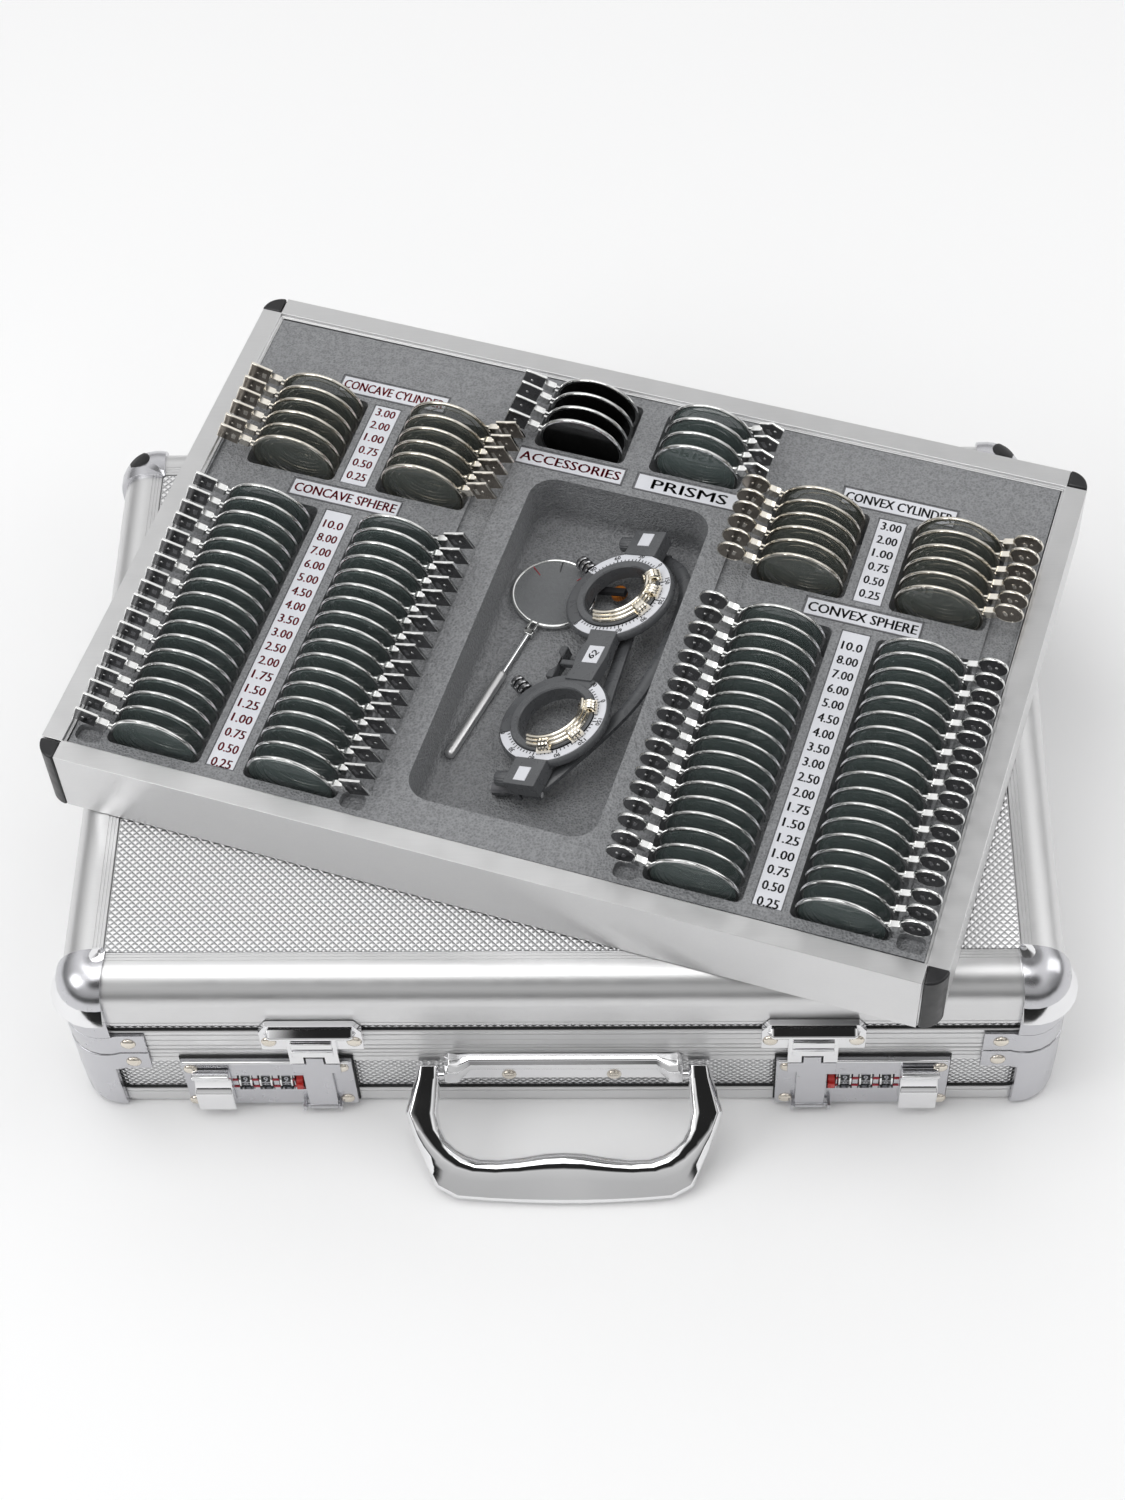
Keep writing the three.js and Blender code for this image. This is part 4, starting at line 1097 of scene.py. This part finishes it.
def lens_tab(metal, kind, place):
    """Handle of a lens: a bright folded neck and a flat tab, along +X."""
    for side in (-1, 1):
        metal.box((18.2, 21.0), sorted((side * 1.1, side * 2.2)), (-0.5, 0.5), 0, place)
    neck = ((20.2, 1.9, 0.9), (20.8, 2.2, 1.45), (25.2, 2.2, 1.45), (25.9, 1.9, 0.8))
    metal.loft([[(x, -y, -z), (x, y, -z), (x, y, z), (x, -y, z)] for x, y, z in neck], 0, place=place)
    if kind == "round":
        edge = both_sides([(5.9, 0.4), (6.1, 0.65), (6.35, 0.65), (6.5, 0.35)])
        metal.lathe(edge, 28, 0, place @ at(31.0, 0, 0))
        metal.disc(6.0, -0.5, 0.5, 28, 1, place @ at(31.0, 0, 0))
        metal.disc(0.7, -0.7, 0.7, 10, 0, place @ at(32.6, 0, 0))
        metal.box((29.0, 30.6), (-1.6, 1.6), (-0.66, 0.66), 2, place)
        return
    half = 5.5
    if kind == "chevron":
        outline = [(25.4, -half), (31.8, -half), (35.4, 0), (31.8, half), (25.4, half)]
    else:
        outline = [(25.4, -half), (35.4, -half), (35.4, half), (25.4, half)]
    metal.prism(outline, -0.55, 0.55, 0, place)
    inner = [(30.4 + (x - 30.4) * 0.93, y * 0.93) for x, y in outline]
    metal.prism(inner, -0.66, 0.66, 1, place)
    metal.disc(0.7, -0.8, 0.8, 10, 0, place @ at(31.2, 0, 0))
    metal.box((27.2, 29.2), (-2.0, 2.0), (-0.72, 0.72), 2, place)


def lens_column(node, x, rows, tab_side, tab, disc, metals, glass, slot):
    """One column of lenses, each a little out of line with the next."""
    metal = Shape()
    panes = Shape()
    first, pitch, count = ROWS[rows]
    for row in range(count):
        lean = LENS_LEAN + random.uniform(-0.7, 0.7)
        roll = random.uniform(-2.0, 2.0)
        y = first - row * pitch + random.uniform(-0.25, 0.25)
        rise = 20 if tab_side > 0 else 160
        stand = at(x, y, LENS_CENTRE_Z) @ turned(lean, "X") @ turned(90, "X")
        tabbed = stand @ turned(rise + roll, "Z")
        metal.lathe(RIM, 48, 0, stand)
        metal.lathe(RETAINER, 40, 0, stand)
        if disc != "black":
            for radius in STEP_RADII:
                step = [(0, -1.45), (0.22, -1.55), (0.44, -1.45), (0.22, -0.9)]
                metal.lathe([(radius + out, height) for out, height in step], 40, 2, stand)
        lens_tab(metal, tab, tabbed)
        panes.lathe(both_sides(PANES[disc]), 40, 0, stand)
    make(node + "_rims", metal, metals, node, slot, [node], place=TRAY, sharp=34, bevel=0.14, segments=1)
    make(node + "_glass", panes, [glass], node, slot, place=TRAY, sharp=40)


def lenses():
    for kind, sign, tab in (("concave", -1, "square"), ("convex", 1, "round")):
        for where, distance in (("outer", OUTER_X), ("inner", INNER_X)):
            side = sign if where == "outer" else -sign
            dark = [STEEL, DARK_STEEL, GREY_STEEL]
            lens_column(f"lenses_{kind}_sphere_{where}", sign * distance, "sphere", side, tab, kind,
                        dark, GLASS_SPHERE, "lens_steel_rim")
            lens_column(f"lenses_{kind}_cylinder_{where}", sign * distance, "cylinder", side, tab, kind,
                        [WARM_STEEL, WARM_GREY, WARM_STEEL], GLASS_CYLINDER, "lens_brass_rim")
    lens_column("lenses_accessories", -MIDDLE_X, "middle", -1, "square", "black",
                [STEEL, DARK_STEEL, DARK_STEEL], BLACK_DISC, "lens_black")
    lens_column("lenses_prisms", MIDDLE_X, "middle", 1, "chevron", "convex",
                [STEEL, DARK_STEEL, GREY_STEEL], GLASS_SPHERE, "lens_steel_rim")


# ---- Trial frame ----

def trial_frame_place():
    """The trial frame's own axes, with Y along its two eyes, and half the distance between them."""
    back = joint_point("cell_turn_back")
    front = joint_point("cell_turn_front")
    up = Vector(JOINTS["cell_turn_back"]["axis"]).normalized()
    along = (back - front).normalized()
    across = along.cross(up).normalized()
    turn = Matrix((across, along, up)).transposed().to_4x4()
    return Matrix.Translation((back + front) / 2) @ turn, (back - front).length / 2


FRAME_PLACE, EYE_Y = trial_frame_place()


def frame_piece(name, shape, materials, body="trial_frame", slot="frame_plastic", nodes=(), **edges):
    """A piece of the trial frame, drawn in the frame's own axes."""
    make(name, shape, materials, body, slot, nodes, FRAME_PLACE, **edges)


def knurled(shape, radius, width, place, teeth):
    """A knob with fine ridges, along the place's Z."""
    outline = []
    for k in range(teeth * 2):
        angle = math.pi * k / teeth
        r = radius if k % 2 else radius - 0.35
        outline.append((r * math.cos(angle), r * math.sin(angle)))
    shape.prism(outline, 0, width, 0, place)
    shape.disc(radius * 0.75, -0.4, width + 0.4, 20, 0, place)


def frame_front():
    front = Shape()
    eye = [(17.6, -2.5), (22.5, -2.5), (24.2, -1.6), (24.5, 0)]
    eye += [(24.2, 1.4), (23.4, 2.3), (18.4, 2.5), (17.6, 1.9)]
    for side in (-1, 1):
        front.lathe(eye, 56, 0, at(0, side * EYE_Y, 0))
    waist = [(-4, -13.8), (-3, -8), (-4.5, 0), (-3, 8), (-4, 13.8)]
    waist += [(9, 13.8), (9.5, 6), (10, 0), (9.5, -6), (9, -13.8)]
    front.prism(waist, -2.3, 3.2)
    for side in (-1, 1):
        front.box((-7, 8), sorted((side * (EYE_Y + 22.5), side * 71)), (-4, 3.4))
        stop_low = -12.8 if side > 0 else -8.8
        front.box((-5.5, -2.6), sorted((side * 64.5, side * 70.5)), (stop_low, -3.5))
        knurled(front, 3.4, 6, at(-13.5, side * 66, -1) @ turned(90, "Y"), 18)
    frame_piece("trial_frame_rims", front, [FRAME_GREY], nodes=["trial_frame_front"],
                bevel=0.5, segments=3, sharp=38)


def frame_scales():
    """White scale arcs and number plates of the trial frame, with their marks."""
    scale = Shape()
    for side in (-1, 1):
        centre_y = side * EYE_Y
        start, end = (-125, 150) if side > 0 else (-150, 60)
        outer = arc((0, centre_y), 23.4, start, end, 36)
        inner = arc((0, centre_y), 18.9, end, start, 36)
        scale.prism(outer + inner, 2.4, 2.75, 0)
        for tick in range(0, end - start + 1, 5):
            angle = start + tick
            long_tick = tick % 30 == 0
            turn = at(0, centre_y, 0) @ turned(angle, "Z")
            scale.box((19.1, 21.0 if long_tick else 20.2), (-0.2, 0.2), (2.7, 2.85), 1, turn)
            if long_tick:
                place = turn @ at(22.1, 0, 2.8) @ turned(-90, "Z")
                scale.text(str(tick % 180), 2.0, place, 1)
    scale.box((0.2, 7.4), (-4.6, 4.6), (3.1, 3.5), 0)
    scale.text("62", 3.4, at(3.8, 0, 3.55) @ turned(60, "Z"), 1)
    for side in (-1, 1):
        scale.box((-2.6, 3.0), sorted((side * 62, side * 69)), (3.3, 3.7), 0)
    frame_piece("trial_frame_scales", scale, [LABEL, INK_BLACK], sharp=30)


def frame_fittings():
    knobs = Shape()
    knurled(knobs, 3.6, 2.6, at(-8, EYE_Y + 9.5, -9.4), 20)
    frame_piece("trial_frame_axis_knob", knobs, [AMBER], sharp=30)
    rods = Shape()
    for side in (-1, 1):
        turn = at(0, side * EYE_Y, -0.6) @ turned(146, "Z")
        for disc in range(3):
            stand = turn @ at(25.4 + disc * 3.3, 0, 0) @ turned(90, "Y")
            rods.lathe([(0, 0), (2.9, 0), (3.3, 0.4), (3.3, 1.8), (2.9, 2.2), (0, 2.2)], 20, 1, stand)
        rods.tube([turn @ Vector((22, 0, 0)), turn @ Vector((33.6, 0, 0))], 1.7, 12)
    rods.box((-21, -3), (EYE_Y + 6.6, EYE_Y + 9.4), (-6.5, -4.2))
    frame_piece("trial_frame_axis_screws", rods, [BLACK, GREY_STEEL], sharp=40)


# One leg of a spring claw in a cell: distance from the cell's axis, and height.
CLAW = [(18.2, 3.6), (18.8, 5.2), (17.4, 6.6), (14.8, 6.2), (13.2, 5.0), (12.2, 5.6)]


def frame_cell(where, side):
    """A turning lens cell with three spring claws and the coils of its springs."""
    y = side * EYE_Y
    cell = Shape()
    ring = [(15.1, -3.3), (17.1, -3.3), (17.1, 2.7), (18.3, 2.9)]
    ring += [(18.6, 3.4), (18.2, 3.9), (15.6, 3.9), (15.1, 3.3)]
    cell.lathe(ring, 56, 0, at(0, y, 0))
    for angle in ((35, 5, -28) if side > 0 else (20, -30, -75)):
        turn = at(0, y, 0) @ turned(angle, "Z")
        for shift in (-1.5, 0, 1.5):
            path = smooth_path([(out, shift, up) for out, up in CLAW], 3)
            cell.tube([turn @ p for p in path], 1.05, 8, 1)
        cell.box((16.2, 20.0), (-3.2, 3.2), (3.3, 4.8), 1, turn)
    for step in range(3):
        path = [(px, py, 4.4 + step * 1.4) for px, py in arc((0, y), 16.4 - step * 0.9, -105, 30, 20)]
        cell.tube(path, 0.95, 8, 1)
    name = "cell_" + where
    frame_piece(name, cell, [FRAME_GREY, BRASS], name, "cell_brass", ["trial_frame_" + name], sharp=38)


# Middle lines of the folded temples, from the hinge to the ear.
TEMPLE_ROUTES = {
    "back": [(2, 67.5, -11), (15, 60, -11), (23, 44, -11), (25, 16, -11), (23, -12, -11), (12, -40, -11),
             (1, -57, -11), (-7, -63.5, -9.25), (-18, -67, -7.5)],
    "front": [(2, -67.5, -7), (9, -55, -7), (14, -42, -7), (14.5, -25, -7), (12, -8, -7), (8, 18, -7),
              (5, 42, -7)],
}
TEMPLE_HALF = 2.9
TEMPLE_TALL = 1.7


def temple(where):
    """A flat sprung arm from its hinge to the ear, with a soft tip on the one that shows its end."""
    route = TEMPLE_ROUTES[where]
    path = smooth_path(route, 5)
    shape = Shape()
    corners = [(1, 0.5), (0.6, 1), (-0.6, 1), (-1, 0.5), (-1, -0.5), (-0.6, -1), (0.6, -1), (1, -0.5)]
    rings = []
    for i, point in enumerate(path):
        ahead = (path[min(i + 1, len(path) - 1)] - path[max(i - 1, 0)]).normalized()
        side = ahead.cross(Vector((0, 0, 1)))
        rings.append([point + side * TEMPLE_HALF * s + Vector((0, 0, TEMPLE_TALL * t)) for s, t in corners])
    shape.loft(rings)
    if where == "back":
        shape.tube([path[-8], path[-6], path[-3], path[-1]], [2.2, 2.5, 3.0, 2.6], 16, 2)
    hinge = at(-2.1, route[0][1], route[0][2]) @ turned(90, "Y")
    shape.disc(2.2, 0, 8, 20, 0, hinge)
    shape.disc(1.2, 8, 8.6, 16, 1, hinge)
    name = "temple_" + where
    frame_piece(name + "_arm", shape, [FRAME_GREY, STEEL, LABEL_EDGE], name,
                nodes=["trial_frame_" + name], sharp=50)


def nose_rest():
    shape = Shape()
    shape.box((-15, 4), (-1.4, 1.4), (-6.1, -3.3))
    bridge = [(-18.8, -8.6), (-15.2, -8.6), (-15.2, 8.6), (-18.8, 8.6), (-18.8, 6)]
    bridge += arc((-21.2, 0), 5.6, 64, -64, 8) + [(-18.8, -6)]
    shape.prism(bridge, -8.8, -3.4)
    frame_piece("nose_saddle", shape, [FRAME_GREY], "nose_rest", nodes=["trial_frame_nose_rest"],
                bevel=0.5, segments=3)


def trial_frame():
    frame_front()
    frame_scales()
    frame_fittings()
    frame_cell("back", 1)
    frame_cell("front", -1)
    temple("back")
    temple("front")
    nose_rest()


# ---- Cross cylinder ----

CROSS_LENS = (-19.0, 25.5)
CROSS_GRIP_END = (-35.1, -68.5)
CROSS_GRIP_LONG = 48.4


def cross_cylinder():
    x, y = CROSS_LENS
    dx = CROSS_GRIP_END[0] - x
    dy = CROSS_GRIP_END[1] - y
    reach = math.hypot(dx, dy)
    place = at(x, y, 6.9) @ Matrix.Rotation(math.atan2(dy, dx), 4, "Z")
    metal = Shape()
    metal.lathe(both_sides([(17.3, 0.9), (18.1, 1.1), (18.6, 0.5)]), 56, 0, place)
    for shift in (-1.6, 1.6):
        metal.box((17.6, 23.5), (shift - 0.5, shift + 0.5), (-1.4, 1.4), 0, place)
    metal.box((22, 25), (-2.1, 2.1), (-1.4, 1.4), 0, place)
    metal.tube([(24.6, 0, 0), (47.6, 0, 0)], 1.15, 14, 1, place)
    grip = [(0, 0), (1.5, 0), (2.0, 0.8), (2.3, 1.6), (2.3, 46), (2.1, 47.2), (1.2, 48.2)]
    grip += [(0, CROSS_GRIP_LONG)]
    metal.lathe(grip, 24, 2, place @ at(reach - CROSS_GRIP_LONG, 0, 0) @ turned(90, "Y"))
    make("cross_cylinder_holder", metal, [STEEL, CHROME, SATIN_PLAIN], "cross_cylinder", "lens_steel_rim",
         ["cross_cylinder_lens"], TRAY, bevel=0.2, sharp=38)
    glass = Shape()
    glass.lathe(both_sides(PANES["cross"]), 56, 0, place)
    make("cross_cylinder_glass", glass, [GLASS_CROSS], "cross_cylinder", "cross_lens_glass", place=TRAY)
    marks = Shape()
    for angle, slot in ((195, 0), (105, 0), (150, 1), (240, 1)):
        marks.box((11.5, 17.0), (-0.18, 0.18), (0.85, 1.0), slot, place @ turned(angle, "Z"))
    make("cross_cylinder_marks", marks, [INK_BLACK, INK_RED], "cross_cylinder", "cross_lens_glass",
         place=TRAY)


# ---- Stage ----

def area_light(name, place, size, power):
    data = bpy.data.lights.new(name, "AREA")
    data.shape = "RECTANGLE"
    data.size, data.size_y = size
    data.energy = power
    light = add_object(name, data)
    aim = Vector((0, 0, 0.05)) - Vector(place)
    light.rotation_euler = aim.to_track_quat("-Z", "Y").to_euler()
    light.location = place


# The floor ends in front of the case, so that the chrome mirrors the dark beyond it. Metres.
FLOOR_FRONT = -0.46
FLOOR_REACH = 6
# Directions in which the room is dark: the person with the camera, and a gap in the ceiling's light.
PHOTOGRAPHER = (0.04, -0.565, 0.824)
CEILING_GAP = (0.0, 0.42, 0.907)
# Area lights: name, place, size and power.
LIGHTS = [
    ("overhead", (-0.3, -0.1, 1.9), (1.6, 1.0), 10),
    ("front_left", (-1.5, -0.7, 1.2), (0.9, 0.9), 7),
    ("right", (1.5, 0.2, 1.0), (0.7, 1.2), 4),
]


def direction_to(tree, direction):
    """How closely the world direction points the same way as another one."""
    node = tree.nodes.new("ShaderNodeVectorMath")
    node.operation = "DOT_PRODUCT"
    node.inputs[1].default_value = Vector(direction).normalized()
    tree.links.new(tree.nodes.new("ShaderNodeTexCoord").outputs["Generated"], node.inputs[0])
    return node.outputs["Value"]


def ramp_of(tree, value, stops):
    ramp = tree.nodes.new("ShaderNodeValToRGB")
    ends = ramp.color_ramp.elements
    for end, (position, level) in ((ends[0], stops[0]), (ends[1], stops[-1])):
        end.position = position
        end.color = (level, level, level, 1)
    for position, level in stops[1:-1]:
        ends.new(position).color = (level, level, level, 1)
    tree.links.new(value, ramp.inputs[0])
    return ramp.outputs[0]


def combine(tree, operation, first, second, factor=1.0):
    mix = tree.nodes.new("ShaderNodeMix")
    mix.data_type = "RGBA"
    mix.blend_type = operation
    mix.inputs["Factor"].default_value = factor if isinstance(factor, float) else 1.0
    if not isinstance(factor, float):
        tree.links.new(factor, mix.inputs["Factor"])
    tree.links.new(first, mix.inputs["A"])
    tree.links.new(second, mix.inputs["B"])
    return mix.outputs["Result"]


def studio_world():
    """A bright room that is dark beyond the table's front edge and where the photographer stands."""
    world = bpy.data.worlds.new("studio")
    world.use_nodes = True
    bpy.context.scene.world = world
    tree = world.node_tree
    height = direction_to(tree, (0, 0, 1))
    bright = ramp_of(tree, height, [(0.0, 0.4), (0.2, 0.55), (0.5, 1.0), (1.0, 1.05)])
    low_front = [(0.0, 0.02), (0.06, 0.08), (0.15, 0.5), (0.45, 0.65)]
    front = ramp_of(tree, height, low_front + [(0.75, 1.0), (1.0, 1.05)])
    facing_front = ramp_of(tree, direction_to(tree, (0, -1, 0)), [(0.15, 0.0), (0.5, 1.0)])
    room = combine(tree, "MIX", bright, front, facing_front)
    photographer = ramp_of(tree, direction_to(tree, PHOTOGRAPHER), [(0.9, 1.0), (0.965, 0.02)])
    room = combine(tree, "MULTIPLY", room, photographer)
    ceiling = ramp_of(tree, direction_to(tree, CEILING_GAP), [(0.94, 1.0), (0.975, 0.08)])
    room = combine(tree, "MULTIPLY", room, ceiling)
    for side in (-1, 1):
        wall = ramp_of(tree, direction_to(tree, (side, 0, 0)), [(0.55, 1.0), (0.9, 0.5)])
        room = combine(tree, "MULTIPLY", room, wall)
    background = tree.nodes["Background"]
    tree.links.new(room, background.inputs[0])
    background.inputs[1].default_value = 0.96


def studio():
    mesh = bpy.data.meshes.new("floor")
    far = FLOOR_REACH
    edge = [(-far, FLOOR_FRONT, 0), (far, FLOOR_FRONT, 0), (far, far, 0), (-far, far, 0)]
    mesh.from_pydata(edge, [], [(0, 1, 2, 3)])
    floor = add_object("floor", mesh)
    pale = Finish("floor_pale", (0.95, 0.95, 0.95), 0.0, 0.75)
    pale.color(pale.noise(400), (0.945, 0.945, 0.95), (0.965, 0.965, 0.965))
    mesh.materials.append(pale.material)
    studio_world()
    for light in LIGHTS:
        area_light(*light)
    bpy.context.scene.view_settings.view_transform = "Standard"


# ---- Assembly ----

add_camera()
studio()
shells()
# Painted shadow lines where the profiles grip the embossed sheets.
seams()
base_profiles()
lid_profiles()
lid_pad()
for corner_name in CORNERS:
    base_corner(corner_name)
    lid_corner(corner_name)
corner_rivets()
handle()
handle_bracket()
lock("left", -1)
lock("right", 1)
hinges()
tray_rails()
tray_insert()
tray_labels()
lenses()
trial_frame()
cross_cylinder()
